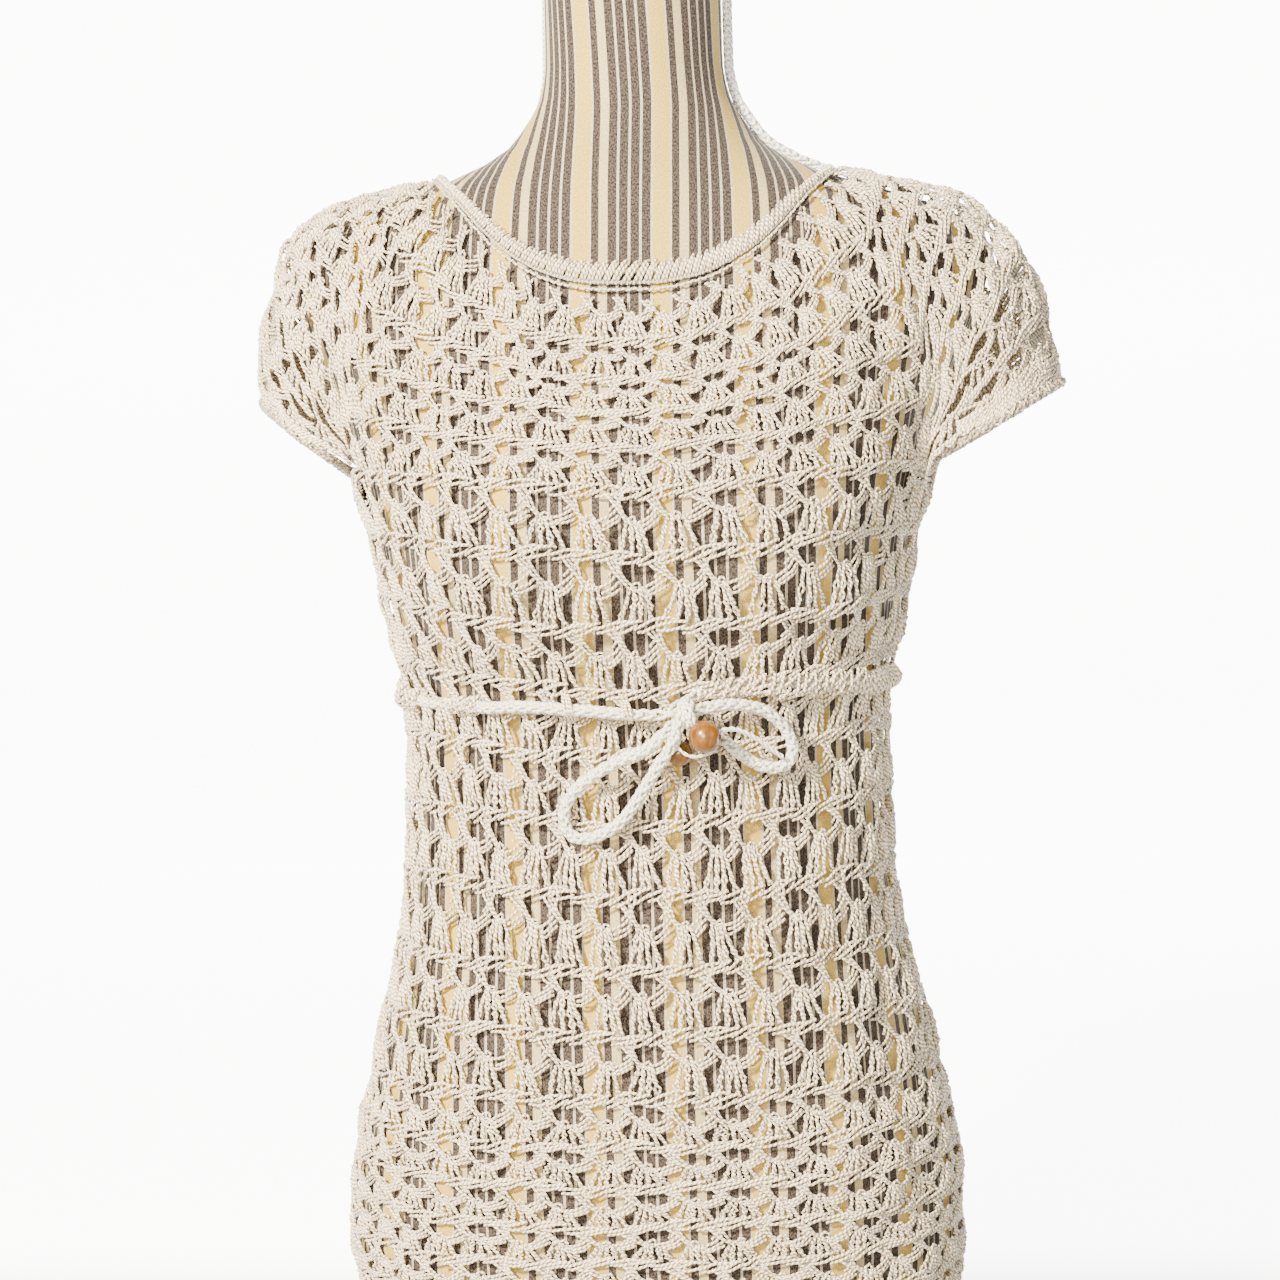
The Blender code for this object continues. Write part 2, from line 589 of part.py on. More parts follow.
def yoke_panel(name, yokes, places):
    """Front or back of the yoke: from one shoulder line to the other, through the middle."""
    downs = []
    for low, high in zip(YOKE_ROWS, YOKE_ROWS[1:]):
        downs += [low, (low + high) / 2]
    downs.append(1.0)
    inner, outer = [], []
    for yoke, way in ((yokes["left"], reversed(places)), (yokes["right"], places[1:])):
        for place in way:
            apart = np.array([0, SEAM_GAP / 2 * (1 if places[0] == 3 else -1), 0]) * (place == 1.5)
            skin, coat = [], []
            trim = SEAM_GAP / 2 / yoke.span(place)
            for k, part in enumerate(downs):
                down = min(part, 1 - trim) * yoke.yoke_end(place)
                skin.append(yoke.at(place, down, 0.0) + apart)
                coat.append(yoke.at(place, down, WALL + ROW_RIDGE * (k % 2 == 0)) + apart)
            inner.append(skin)
            outer.append(coat)
    return wall(name, inner, outer, "crochet")


def sleeve_panel(name, yoke):
    """The cap sleeve: from the end of the yoke to the cuff, thin to nothing at the underarm."""
    inner, outer = [], []
    for place in SLEEVE_STEPS + [3 - place for place in reversed(SLEEVE_STEPS[:-1])]:
        trim = SEAM_GAP / yoke.span(place)
        start = yoke.yoke_end(place) + 3 * trim
        skin, coat = [], []
        for k in range(SLEEVE_ROWS * 2 + 1):
            down = start + (1 - trim - start) * k / (SLEEVE_ROWS * 2)
            skin.append(yoke.at(place, down, 0.0))
            coat.append(yoke.at(place, down, WALL + ROW_RIDGE * (k % 2 == 0)))
        inner.append(skin)
        outer.append(coat)
    return wall(name, inner, outer, "crochet")


def build_top(tree):
    yokes = {name: Yoke(sleeve, tree) for name, sleeve in SLEEVES.items()}
    front = YOKE_STEPS + SLEEVE_STEPS
    back = [3 - place for place in front]
    yoke_panel("yoke_front", yokes, front)
    yoke_panel("yoke_back", yokes, back)
    for name, yoke in yokes.items():
        sleeve_panel("sleeve_" + name, yoke)
        build_cuff("cuff_" + name, yoke)
    build_neck_band(tree)
    build_body()


def build_cuff(name, yoke):
    """A cord of stitches round the armhole: along the cuff and back under the arm."""
    out, near = CUFF_CORD + CUFF_FREE, CUFF_CORD + 2.3 * SEAM_GAP
    stops = []
    loop_middle = (yoke.inner(1.5, 1.0) + yoke.front_join / 2 + yoke.back_join / 2) / 2
    for t in np.linspace(0.10, 0.90, 21):
        edge = yoke.inner(1 + t, 1.0) + yoke.normal(1 + t, 1.0) * WALL / 2
        fall = unit(yoke.inner(1 + t, 1.0) - yoke.inner(1 + t, 0.96))
        weight = math.sin(math.pi * t)**0.5
        away = unit(unit(loop_middle - edge) * (1 - weight) + fall * weight)
        stops.append(edge + away * out * (1.4 - 0.4 * weight))
    for angle in UNDERARM:
        top = row_height(0, angle)
        edge = body_inner(angle, top) + form_normal(angle, top) * (WALL / 2 + UNDERARM_OUT)
        stops.append(edge + unit(unit(loop_middle - edge) * 0.3 + np.array([0, 0, 0.7])) * near)
    route = smooth_route(stops, CUFF_STOPS, closed=True)
    route = [lifted(point, yoke.tree, CUFF_CORD + SEAM_GAP) * np.array([yoke.sleeve.side, 1, 1])
             for point in route]
    return cord(name, route, CUFF_CORD, "crochet", cyclic=True)


def build_neck_band(tree):
    """The rope-like band: a crowned wall from the neckline to the start of the yoke."""
    inner, outer = [], []
    step = 2 * math.pi / BAND_COLUMNS
    for i in range(BAND_COLUMNS):
        turn = step * i
        rows = [neck_point(turn, out, tree) for out in (0, BAND_WIDE / 2, BAND_WIDE - SEAM_GAP / 2)]
        before, after = (neck_point(turn + way * step / 3, BAND_WIDE / 2, tree) for way in (-1, 1))
        out = unit(np.cross(rows[2] - rows[0], after - before))
        inner.append(rows)
        outer.append([row + out * thick for row, thick in zip(rows, (BAND_TOP, BAND_THICK, BAND_FOOT))])
    return wall("neck_band", inner, outer, "crochet", closed=True)


# ---------------------------------------------------------------- drawstring, bow, beads and braid
def over_cloth(angle, height, rise):
    """A point above the row ridges of the body's cloth."""
    return body_inner(angle, height) + form_normal(angle, height) * (WALL + ROW_RIDGE + rise)


def before_cloth(x, z, rise):
    """The point above the front cloth that has this x and this z."""
    angle, height = math.asin(x / MEAN_RADIUS), z
    for _ in range(12):
        point = over_cloth(angle, height, rise)
        angle += (x - point[0]) / MEAN_RADIUS
        height += z - point[2]
    return over_cloth(angle, height, rise)


def ball(name, centre, halves, kind, rings, sides):
    """A rounded solid with its own half width, depth and height."""
    points = [centre + np.array([0, 0, -halves[2]])]
    for k in range(1, rings):
        down = math.pi * k / rings
        for i in range(sides):
            turn = 2 * math.pi * i / sides
            points.append(centre + np.array([halves[0] * math.sin(down) * math.cos(turn),
                                             halves[1] * math.sin(down) * math.sin(turn),
                                             -halves[2] * math.cos(down)]))
    points.append(centre + np.array([0, 0, halves[2]]))
    last = len(points) - 1
    faces = []
    for i in range(sides):
        j = (i + 1) % sides
        faces.append([0, 1 + j, 1 + i])
        faces.append([last, last - sides + i, last - sides + j])
        for k in range(rings - 2):
            a, b = 1 + k * sides, 1 + (k + 1) * sides
            faces.append([a + i, a + j, b + j, b + i])
    return add_mesh(name, points, faces, kind)


def build_tie():
    """The drawstring round the waist, and the bow, tail and beads in front of it."""
    angles = np.radians([stop[0] for stop in TIE_RUN])
    height = smooth_curve(angles, [stop[1] for stop in TIE_RUN])
    run = [over_cloth(angle, height(angle), SEAM_GAP * 2 + TIE_RADIUS)
           for angle in np.linspace(angles[0], angles[-1], TIE_STOPS)]
    cord("tie_waist", run, TIE_RADIUS, "tie")
    ball("tie_knot", before_cloth(*KNOT), KNOT_HALF, "tie", 10, 14)
    for name, stops, radius, count in (("tie_loop_left", LOOP_LEFT, TIE_RADIUS, 30),
                                       ("tie_loop_right", LOOP_RIGHT, TIE_RADIUS, 26),
                                       ("tie_tail", TAIL, TAIL_RADIUS, 14)):
        cord(name, smooth_route([before_cloth(*stop) for stop in stops], count), radius, "tie")
    for name, (place, radius) in BEADS.items():
        ball(name, before_cloth(*place), (radius, radius, radius), "bead", 10, 14)


def build_trims(tree):
    """Gimp braid on the form, from the top of the neck down the shoulder to the neck band."""
    for name, angle in TRIMS.items():
        stops = []
        for height in np.arange(TRIM_TOP, FINE_FROM, -0.002):
            point = form_point(angle, height) + form_normal(angle, height) * (TRIM_RADIUS + SEAM_GAP)
            if abs(point[0]) > NECK_HALF - SEAM_GAP:
                break
            stops.append(point)
        route = [lifted(point, tree, TRIM_RADIUS + 2 * SEAM_GAP) for point in smooth_route(stops, TRIM_STOPS)]
        cord(name, route, TRIM_RADIUS, "trim")


# ---------------------------------------------------------------- assembly
def clear_scene():
    for item in list(bpy.data.objects):
        bpy.data.objects.remove(item, do_unlink=True)


def main():
    clear_scene()
    tree = build_form()
    build_top(tree)
    build_tie()
    build_trims(tree)


main()
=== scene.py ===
import json
import math
import random

import bmesh
import bpy
import numpy as np
from mathutils import Matrix, Vector
from mathutils.bvhtree import BVHTree
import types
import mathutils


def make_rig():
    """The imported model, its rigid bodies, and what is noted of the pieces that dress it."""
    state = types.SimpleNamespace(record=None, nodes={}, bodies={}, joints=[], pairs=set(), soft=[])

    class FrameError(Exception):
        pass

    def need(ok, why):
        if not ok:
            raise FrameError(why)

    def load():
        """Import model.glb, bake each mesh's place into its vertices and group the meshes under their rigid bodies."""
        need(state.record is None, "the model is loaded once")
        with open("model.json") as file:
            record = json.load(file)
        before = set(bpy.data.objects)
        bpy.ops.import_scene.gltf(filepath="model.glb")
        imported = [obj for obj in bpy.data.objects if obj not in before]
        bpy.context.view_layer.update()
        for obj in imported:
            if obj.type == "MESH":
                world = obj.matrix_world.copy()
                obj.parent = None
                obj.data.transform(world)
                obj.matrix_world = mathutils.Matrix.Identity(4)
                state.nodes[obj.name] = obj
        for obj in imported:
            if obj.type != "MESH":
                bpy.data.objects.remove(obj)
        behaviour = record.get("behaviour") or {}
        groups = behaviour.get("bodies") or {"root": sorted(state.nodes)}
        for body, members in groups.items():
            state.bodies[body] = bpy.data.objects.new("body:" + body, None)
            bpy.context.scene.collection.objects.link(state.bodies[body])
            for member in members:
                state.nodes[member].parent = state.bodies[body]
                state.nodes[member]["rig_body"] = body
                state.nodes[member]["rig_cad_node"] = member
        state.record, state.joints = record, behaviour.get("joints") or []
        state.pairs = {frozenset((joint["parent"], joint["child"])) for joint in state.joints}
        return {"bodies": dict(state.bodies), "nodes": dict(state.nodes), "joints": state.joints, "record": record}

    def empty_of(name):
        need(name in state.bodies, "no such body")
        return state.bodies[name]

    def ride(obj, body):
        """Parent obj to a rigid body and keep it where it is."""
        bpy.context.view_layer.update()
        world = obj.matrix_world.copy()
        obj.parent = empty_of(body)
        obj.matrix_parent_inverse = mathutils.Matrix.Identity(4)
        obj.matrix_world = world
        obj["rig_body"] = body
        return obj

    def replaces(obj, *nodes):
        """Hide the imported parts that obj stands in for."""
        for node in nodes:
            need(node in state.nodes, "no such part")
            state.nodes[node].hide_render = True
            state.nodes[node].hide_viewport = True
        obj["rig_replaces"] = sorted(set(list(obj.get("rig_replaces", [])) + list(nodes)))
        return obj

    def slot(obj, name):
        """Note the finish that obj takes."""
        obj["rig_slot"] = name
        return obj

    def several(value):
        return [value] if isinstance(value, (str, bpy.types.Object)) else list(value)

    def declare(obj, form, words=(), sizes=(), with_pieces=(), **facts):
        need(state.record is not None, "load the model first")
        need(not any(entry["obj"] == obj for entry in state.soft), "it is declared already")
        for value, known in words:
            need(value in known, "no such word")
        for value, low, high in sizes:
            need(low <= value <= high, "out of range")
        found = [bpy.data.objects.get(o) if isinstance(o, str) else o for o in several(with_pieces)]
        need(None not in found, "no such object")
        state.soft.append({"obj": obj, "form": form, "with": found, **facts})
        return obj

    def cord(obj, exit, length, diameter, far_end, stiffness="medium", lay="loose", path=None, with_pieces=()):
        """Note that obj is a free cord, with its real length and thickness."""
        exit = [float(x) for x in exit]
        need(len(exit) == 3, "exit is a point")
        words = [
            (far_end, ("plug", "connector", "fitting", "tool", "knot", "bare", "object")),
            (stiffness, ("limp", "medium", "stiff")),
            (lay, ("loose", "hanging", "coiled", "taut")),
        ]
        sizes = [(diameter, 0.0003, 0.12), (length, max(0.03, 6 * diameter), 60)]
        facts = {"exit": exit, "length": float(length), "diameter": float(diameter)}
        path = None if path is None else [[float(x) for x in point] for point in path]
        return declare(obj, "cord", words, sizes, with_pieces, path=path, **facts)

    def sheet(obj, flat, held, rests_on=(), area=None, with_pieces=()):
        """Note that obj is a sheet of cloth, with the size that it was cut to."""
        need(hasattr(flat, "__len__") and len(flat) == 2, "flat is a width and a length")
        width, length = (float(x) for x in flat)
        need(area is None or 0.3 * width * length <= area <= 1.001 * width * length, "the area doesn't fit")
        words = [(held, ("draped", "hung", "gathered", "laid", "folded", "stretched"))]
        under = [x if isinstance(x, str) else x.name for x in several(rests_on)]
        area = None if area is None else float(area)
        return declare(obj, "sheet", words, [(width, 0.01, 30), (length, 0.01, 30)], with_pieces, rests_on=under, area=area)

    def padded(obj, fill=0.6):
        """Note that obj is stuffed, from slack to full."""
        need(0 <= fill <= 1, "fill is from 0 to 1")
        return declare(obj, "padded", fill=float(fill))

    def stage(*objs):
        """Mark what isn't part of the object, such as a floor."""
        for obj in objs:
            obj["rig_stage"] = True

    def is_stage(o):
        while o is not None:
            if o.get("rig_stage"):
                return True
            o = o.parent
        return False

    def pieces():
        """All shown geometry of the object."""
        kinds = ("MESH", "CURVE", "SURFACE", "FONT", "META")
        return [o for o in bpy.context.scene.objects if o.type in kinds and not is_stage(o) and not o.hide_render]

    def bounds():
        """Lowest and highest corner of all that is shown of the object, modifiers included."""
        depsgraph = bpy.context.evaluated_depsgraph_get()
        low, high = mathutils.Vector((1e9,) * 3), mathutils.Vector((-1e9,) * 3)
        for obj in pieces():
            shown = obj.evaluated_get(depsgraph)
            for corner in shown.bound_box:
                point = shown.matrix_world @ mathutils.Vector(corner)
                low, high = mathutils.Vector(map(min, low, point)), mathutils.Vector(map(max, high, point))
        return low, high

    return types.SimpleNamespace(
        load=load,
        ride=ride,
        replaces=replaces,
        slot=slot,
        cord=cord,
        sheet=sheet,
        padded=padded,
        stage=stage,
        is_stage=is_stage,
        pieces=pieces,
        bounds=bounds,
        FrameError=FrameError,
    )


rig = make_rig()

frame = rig.load()
cadBox = [list(corner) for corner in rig.bounds()]
seamGap, clothGap, wall, rowRidge = 0.0003, 0.0010, 0.0030, 0.0010    # metres, as the solids have them

# camera: a metre and a half off, a little to the right, level with the bust
cameraSet = dict(distance=1.5, turn=3.0, roll=1.2, height=0.475, aim=(-0.0031, 0, 0.418),
                 metresPerPixel=0.00052, imageSide=1280, sensor=36)


def makeCamera(s):
    data = bpy.data.cameras.new("Camera")
    data.sensor_width = s["sensor"]
    data.lens = s["distance"] / s["metresPerPixel"] / s["imageSide"] * s["sensor"]
    camera = bpy.data.objects.new("Camera", data)
    bpy.context.scene.collection.objects.link(camera)
    turn, aim = math.radians(s["turn"]), Vector(s["aim"])
    place = Vector((aim.x + s["distance"] * math.sin(turn), -s["distance"] * math.cos(turn), s["height"]))
    look = (aim - place).to_track_quat("-Z", "Y").to_matrix().to_4x4()
    camera.matrix_world = Matrix.Translation(place) @ look @ Matrix.Rotation(-math.radians(s["roll"]), 4, "Z")
    bpy.context.scene.camera = camera


makeCamera(cameraSet)


# small tools

def linear(hexColour):
    parts = [int(hexColour[i:i + 2], 16) / 255 for i in (1, 3, 5)]
    return [c / 12.92 if c <= 0.04045 else ((c + 0.055) / 1.055)**2.4 for c in parts] + [1]


def smoothCurve(xs, ys):
    xs, ys = np.asarray(xs, float), np.asarray(ys, float)
    step = np.diff(xs)
    slope = np.diff(ys) / step
    tangent = np.zeros_like(ys)
    tangent[0], tangent[-1] = slope[0], slope[-1]
    for i in range(1, len(xs) - 1):
        if slope[i - 1] * slope[i] > 0:
            w1, w2 = 2 * step[i] + step[i - 1], step[i] + 2 * step[i - 1]
            tangent[i] = (w1 + w2) / (w1 / slope[i - 1] + w2 / slope[i])

    def value(x):
        x = min(max(x, xs[0]), xs[-1])
        i = min(int(np.searchsorted(xs, x, side="right")) - 1, len(xs) - 2)
        t = (x - xs[i]) / step[i]
        return ((2 * t**3 - 3 * t**2 + 1) * ys[i] + (t**3 - 2 * t**2 + t) * step[i] * tangent[i]
                + (3 * t**2 - 2 * t**3) * ys[i + 1] + (t**3 - t**2) * step[i] * tangent[i + 1])

    return value


def tableCurves(columns, rows):
    rows = sorted(rows)
    heights = [row[0] for row in rows]
    return {name: smoothCurve(heights, [row[k] for row in rows]) for k, name in enumerate(columns) if k}


def unit(vector):
    return vector / np.linalg.norm(vector)


def byLength(points):
    points = np.asarray(points)
    lengths = np.concatenate([[0], np.cumsum(np.linalg.norm(np.diff(points, axis=0), axis=1))])
    return lengths[-1], lambda length: np.array([np.interp(length, lengths, points[:, k]) for k in range(3)])


def addObject(name, data):
    made = bpy.data.objects.new(name, data)
    bpy.context.scene.collection.objects.link(made)
    return made


def addMesh(name, points, faces, material):
    mesh = bpy.data.meshes.new(name)
    mesh.from_pydata([tuple(point) for point in points], [], faces)
    mesh.shade_smooth()
    if material:
        mesh.materials.append(material)
    return addObject(name, mesh)


def finishPiece(piece, slot, *nodes):
    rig.ride(piece, "root")
    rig.slot(piece, slot)
    if nodes:
        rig.replaces(piece, *nodes)
    return piece


# the form's surface, in the solids' own sizes: height, half width, reach to front and back, squareness
formTable = [
    (0.000, 0.1370, 0.101, 0.100, 2.30), (0.045, 0.1450, 0.106, 0.106, 2.30), (0.085, 0.1490, 0.110, 0.111, 2.30),
    (0.110, 0.1550, 0.112, 0.114, 2.30), (0.137, 0.1553, 0.112, 0.115, 2.30), (0.168, 0.1510, 0.112, 0.112, 2.30),
    (0.199, 0.1445, 0.111, 0.106, 2.30), (0.231, 0.1362, 0.109, 0.097, 2.30), (0.262, 0.1282, 0.105, 0.088, 2.30),
    (0.293, 0.1230, 0.100, 0.080, 2.30), (0.330, 0.1195, 0.095, 0.072, 2.30), (0.360, 0.1192, 0.095, 0.070, 2.30),
    (0.390, 0.1202, 0.099, 0.073, 2.30), (0.420, 0.1265, 0.107, 0.079, 2.30), (0.450, 0.1330, 0.114, 0.087, 2.30),
    (0.480, 0.1385, 0.117, 0.093, 2.30), (0.510, 0.1455, 0.115, 0.097, 2.30), (0.540, 0.1545, 0.109, 0.099, 2.25),
    (0.570, 0.1680, 0.101, 0.098, 2.15), (0.595, 0.1780, 0.093, 0.094, 2.00), (0.612, 0.1815, 0.087, 0.089, 1.85),
    (0.622, 0.1800, 0.083, 0.085, 1.78), (0.630, 0.1720, 0.080, 0.082, 1.72), (0.637, 0.1600, 0.077, 0.079, 1.70),
    (0.643, 0.1430, 0.074, 0.076, 1.70), (0.650, 0.1200, 0.071, 0.074, 1.70), (0.657, 0.0970, 0.066, 0.070, 1.75),
    (0.664, 0.0800, 0.060, 0.066, 1.90), (0.673, 0.0657, 0.053, 0.062, 2.00), (0.684, 0.0571, 0.047, 0.058, 2.00),
    (0.697, 0.0494, 0.043, 0.055, 2.00), (0.715, 0.0459, 0.041, 0.053, 2.00), (0.768, 0.0455, 0.041, 0.052, 2.00)]
formAt = tableCurves(("height", "halfWidth", "front", "back", "square"), formTable)
bust = dict(height=0.455, reach=0.011, angle=math.radians(34), spread=math.radians(21), rise=0.036)
formTop = formTable[-1][0]


def formRadius(angle, height):
    across, along = abs(math.sin(angle)), math.cos(angle)
    reach = formAt["front" if along > 0 else "back"](height)
    square = formAt["square"](height)
    radius = ((across / formAt["halfWidth"](height))**square + (abs(along) / reach)**square)**(-1 / square)
    turn = abs(math.atan2(math.sin(angle), along))
    swell = math.exp(-((turn - bust["angle"]) / bust["spread"])**2
                     - ((height - bust["height"]) / bust["rise"])**2)
    return radius + bust["reach"] * swell


def formPoint(angle, height):
    radius = formRadius(angle, height)
    return np.array([radius * math.sin(angle), -radius * math.cos(angle), height])


def formNormal(angle, height):
    turn = formPoint(angle + 0.02, height) - formPoint(angle - 0.02, height)
    rise = formPoint(angle, height + 0.002) - formPoint(angle, height - 0.002)
    return unit(np.cross(turn, rise))


# the body of the top: height of a row ridge, its rise at the side and at the back, and the cloth's ease
bodyTable = [
    (0.4940, 0.0125, 0.010, 0.0006, 0.0030, 0.0010), (0.4627, 0.0140, 0.011, 0.0004, 0.0000, 0.0015),
    (0.4292, 0.0150, 0.011, 0.0040, 0.0014, 0.0040), (0.3990, 0.0130, 0.010, 0.0050, 0.0000, 0.0060),
    (0.3655, 0.0110, 0.009, 0.0040, 0.0018, 0.0075), (0.3315, 0.0090, 0.008, 0.0050, 0.0020, 0.0085),
    (0.2960, 0.0075, 0.007, 0.0045, 0.0018, 0.0075), (0.2603, 0.0060, 0.006, 0.0030, 0.0010, 0.0050),
    (0.2298, 0.0045, 0.005, 0.0018, 0.0002, 0.0025), (0.1986, 0.0035, 0.004, 0.0010, 0.0000, 0.0008),
    (0.1760, 0.0025, 0.003, 0.0008, 0.0004, 0.0004), (0.1570, 0.0020, 0.002, 0.0010, 0.0006, 0.0004),
    (0.1370, 0.0015, 0.002, 0.0014, 0.0003, 0.0006), (0.1198, 0.0010, 0.001, 0.0020, 0.0006, 0.0012),
    (0.1010, 0.0005, 0.001, 0.0026, 0.0016, 0.0022), (0.0830, 0.0000, 0.000, 0.0032, 0.0026, 0.0030),
    (0.0700, 0.0000, 0.000, 0.0034, 0.0032, 0.0034)]
easeAt = tableCurves(("height", "sideRise", "backRise", "front", "side", "back"), bodyTable)
bodyRowCount = len(bodyTable) - 1
joinAngle = math.radians(72)          # where the sleeve and the body part
meanRadius = 0.13                     # of the body, to turn a length round it into an angle
bridge = dict(reach=0.004, spread=0.30, rise=0.034)


def rowHeight(rowPlace, angle):
    side = math.sin(angle)**2
    back = (1 - math.cos(angle)) / 2
    heights = [row[0] + row[1] * side + row[2] * back * (1 - side) for row in bodyTable]
    low, high = heights[0] - heights[1], heights[-2] - heights[-1]
    places = [-1] + list(range(bodyRowCount + 1)) + [bodyRowCount + 1]
    return float(np.interp(rowPlace, places, [heights[0] + low] + heights + [heights[-1] - high]))


def bodyInner(angle, height):
    side, front, back = math.sin(angle)**2, max(math.cos(angle), 0)**2, max(-math.cos(angle), 0)**2
    ease = easeAt["front"](height) * front + easeAt["side"](height) * side + easeAt["back"](height) * back
    hollow = bridge["reach"] * math.exp(-(angle / bridge["spread"])**2
                                        - ((height - bust["height"] + bridge["reach"]) / bridge["rise"])**2)
    return formPoint(angle, height) + formNormal(angle, height) * (clothGap + ease + hollow)


# the neckline's oval, the yoke and the cap sleeves, with the solids' own tables
neckSet = dict(half=0.0980, front=0.0895, back=0.0820, square=2.35, band=0.0060, lead=0.010, frontArc=0.124)
yokeRows = [0.0, 0.240, 0.432, 0.606, 0.790, 1.0]
sleeveSet = {"right": dict(side=1, reach=0.2142, depth=0.0540, slope=0.60, lift=0.0085, puff=0.0006),
             "left": dict(side=-1, reach=0.1950, depth=0.0540, slope=0.79, lift=0.0005, puff=0.0068)}
sleeveStart, yokeGap, turnGap, cuffStart, cuffHang = 0.62, 0.0024, 0.0032, math.radians(-25), 0.16
formTree = BVHTree.FromObject(frame["nodes"]["form_torso"], bpy.context.evaluated_depsgraph_get())


def lifted(point, gap):
    near, normal, _, _ = formTree.find_nearest(Vector(point))
    if (Vector(point) - near).dot(normal) < gap:
        return np.array(near + normal * gap)
    return np.asarray(point)


def neckPoint(turn, out):
    sine, cosine = math.sin(turn), math.cos(turn)
    half, reach = neckSet["half"] + out, neckSet["front" if cosine > 0 else "back"] + out
    x = half * math.copysign(abs(sine)**(2 / neckSet["square"]), sine)
    y = -reach * math.copysign(abs(cosine)**(2 / neckSet["square"]), cosine)
    angle, radius = math.atan2(x, -y), math.hypot(x, y)
    low, high = 0.56, 0.70             # the neckline lies between these heights
    for _ in range(30):
        middle = (low + high) / 2
        if formRadius(angle, middle) > radius:
            low = middle
        else:
            high = middle
    return lifted([x, y, low], 1.5 * clothGap)


class Yoke:
    # places run from 0 at the front middle to 1, 2 and 3 at the back middle, with the sleeve from 1 to 2
    steps = 24

    def __init__(self, sleeve):
        self.sleeve = sleeve
        turns = np.linspace(0, math.pi, 121)
        rings = [byLength([neckPoint(turn, out) for turn in turns])
                 for out in (neckSet["band"] + 1.5 * seamGap, neckSet["band"] + neckSet["lead"])]
        (self.half, self.neck), (self.farHalf, self.farNeck) = rings
        front = [bodyInner(a, rowHeight(0, a)) for a in np.linspace(0, joinAngle, 41)]
        back = [bodyInner(a, rowHeight(0, a)) for a in np.linspace(math.pi - joinAngle, math.pi, 41)]
        self.frontJoin, self.backJoin = front[-1], back[0]
        self.lower = [byLength(front), byLength([self.cuffPoint(t) for t in np.linspace(0, 1, 61)]),
                      byLength(back)]
        self.grid = self.drape()

    def cuffPoint(self, t):
        turn = cuffStart + (math.pi - 2 * cuffStart) * t
        inner = (self.frontJoin[0] + self.backJoin[0]) / 2
        wide = (self.sleeve["reach"] - inner) / (1 - math.sin(cuffStart))
        x = self.sleeve["reach"] - wide * (1 - math.sin(turn))
        middle = (self.frontJoin[1] + self.backJoin[1]) / 2
        spread = (self.backJoin[1] - self.frontJoin[1]) / 2 / math.cos(cuffStart)
        spread *= 1 + (self.sleeve["depth"] / spread - 1) * math.sin(math.pi * t)
        z = self.frontJoin[2] + (self.backJoin[2] - self.frontJoin[2]) * t + self.sleeve["slope"] * (x - inner)
        ends = self.frontJoin if t < 0.5 else self.backJoin
        pull = max(0.0, 1 - 8 * min(t, 1 - t))
        return np.array([x + (ends[0] - inner) * pull, middle - spread * math.cos(turn), z])

    def neckLength(self, place, half):
        front = neckSet["frontArc"] * half / self.half
        return float(np.interp(place, [0, 1, 2, 3], [0, front, half - front, half]))

    def path(self, place):
        start = self.neck(self.neckLength(place, self.half))
        far = self.farNeck(self.neckLength(place, self.farHalf))
        part = min(int(place), 2)
        length, lower = self.lower[part]
        end = lower(length * (place - part))
        angle = math.atan2(end[0], -end[1])
        drop = bodyInner(angle, end[2] - 0.01) - bodyInner(angle, end[2])
        over = math.sin(math.pi * min(max(place - 1, 0), 1))
        fall = unit(unit(drop) * (1 - over) + np.array([cuffHang, 0, -1]) * over)
        return start, unit(far - start), end, fall, over

    def drape(self):
        columns = []
        for i in range(3 * self.steps + 1):
            start, away, end, fall, over = self.path(i / self.steps)
            span = np.linalg.norm(end - start)
            lead, tail = span * (1.0 + 0.35 * over), span * (0.9 + 0.65 * over)
            column = []
            for t in np.linspace(0, 1, self.steps + 1):
                column.append((2 * t**3 - 3 * t**2 + 1) * start + (t**3 - 2 * t**2 + t) * lead * away
                              + (3 * t**2 - 2 * t**3) * end + (t**3 - t**2) * tail * fall)
            length, at = byLength(column)
            even = [at(length * j / self.steps) for j in range(self.steps + 1)]
            for j, point in enumerate(even):
                down = j / self.steps
                point[2] += self.sleeve["lift"] * over * math.sin(math.pi * down)
                point[0] += self.sleeve["puff"] * over * math.sin(math.pi * down**2.5)
            columns.append([lifted(point, yokeGap) for point in even])
        grid = np.array(columns)
        for _ in range(3):
            calm = grid.copy()
            calm[1:-1, 1:-1] = (grid[:-2, 1:-1] + grid[2:, 1:-1] + grid[1:-1, :-2] + grid[1:-1, 2:]) / 4
            grid = (grid + calm) / 2
            for i in range(len(grid)):
                for j in range(1, self.steps):
                    grid[i, j] = lifted(grid[i, j], yokeGap)
        return grid

    def inner(self, place, down):
        a, b = place * self.steps, down * self.steps
        i, j = min(int(a), 3 * self.steps - 1), min(int(b), self.steps - 1)
        p, q = a - i, b - j
        g = self.grid
        return ((1 - p) * (1 - q) * g[i, j] + p * (1 - q) * g[i + 1, j]
                + (1 - p) * q * g[i, j + 1] + p * q * g[i + 1, j + 1])

    def normal(self, place, down):
        step = 1.0 / self.steps
        around = self.inner(min(place + step, 3), down) - self.inner(max(place - step, 0), down)
        along = self.inner(place, min(down + step, 1)) - self.inner(place, max(down - step, 0))
        own = unit(np.cross(along, around))
        if 1 < place < 2 or down < 0.85:
            return own
        end = self.inner(place, 1)
        weight = (down - 0.85) / 0.15
        return unit(own * (1 - weight) + formNormal(math.atan2(end[0], -end[1]), end[2]) * weight)

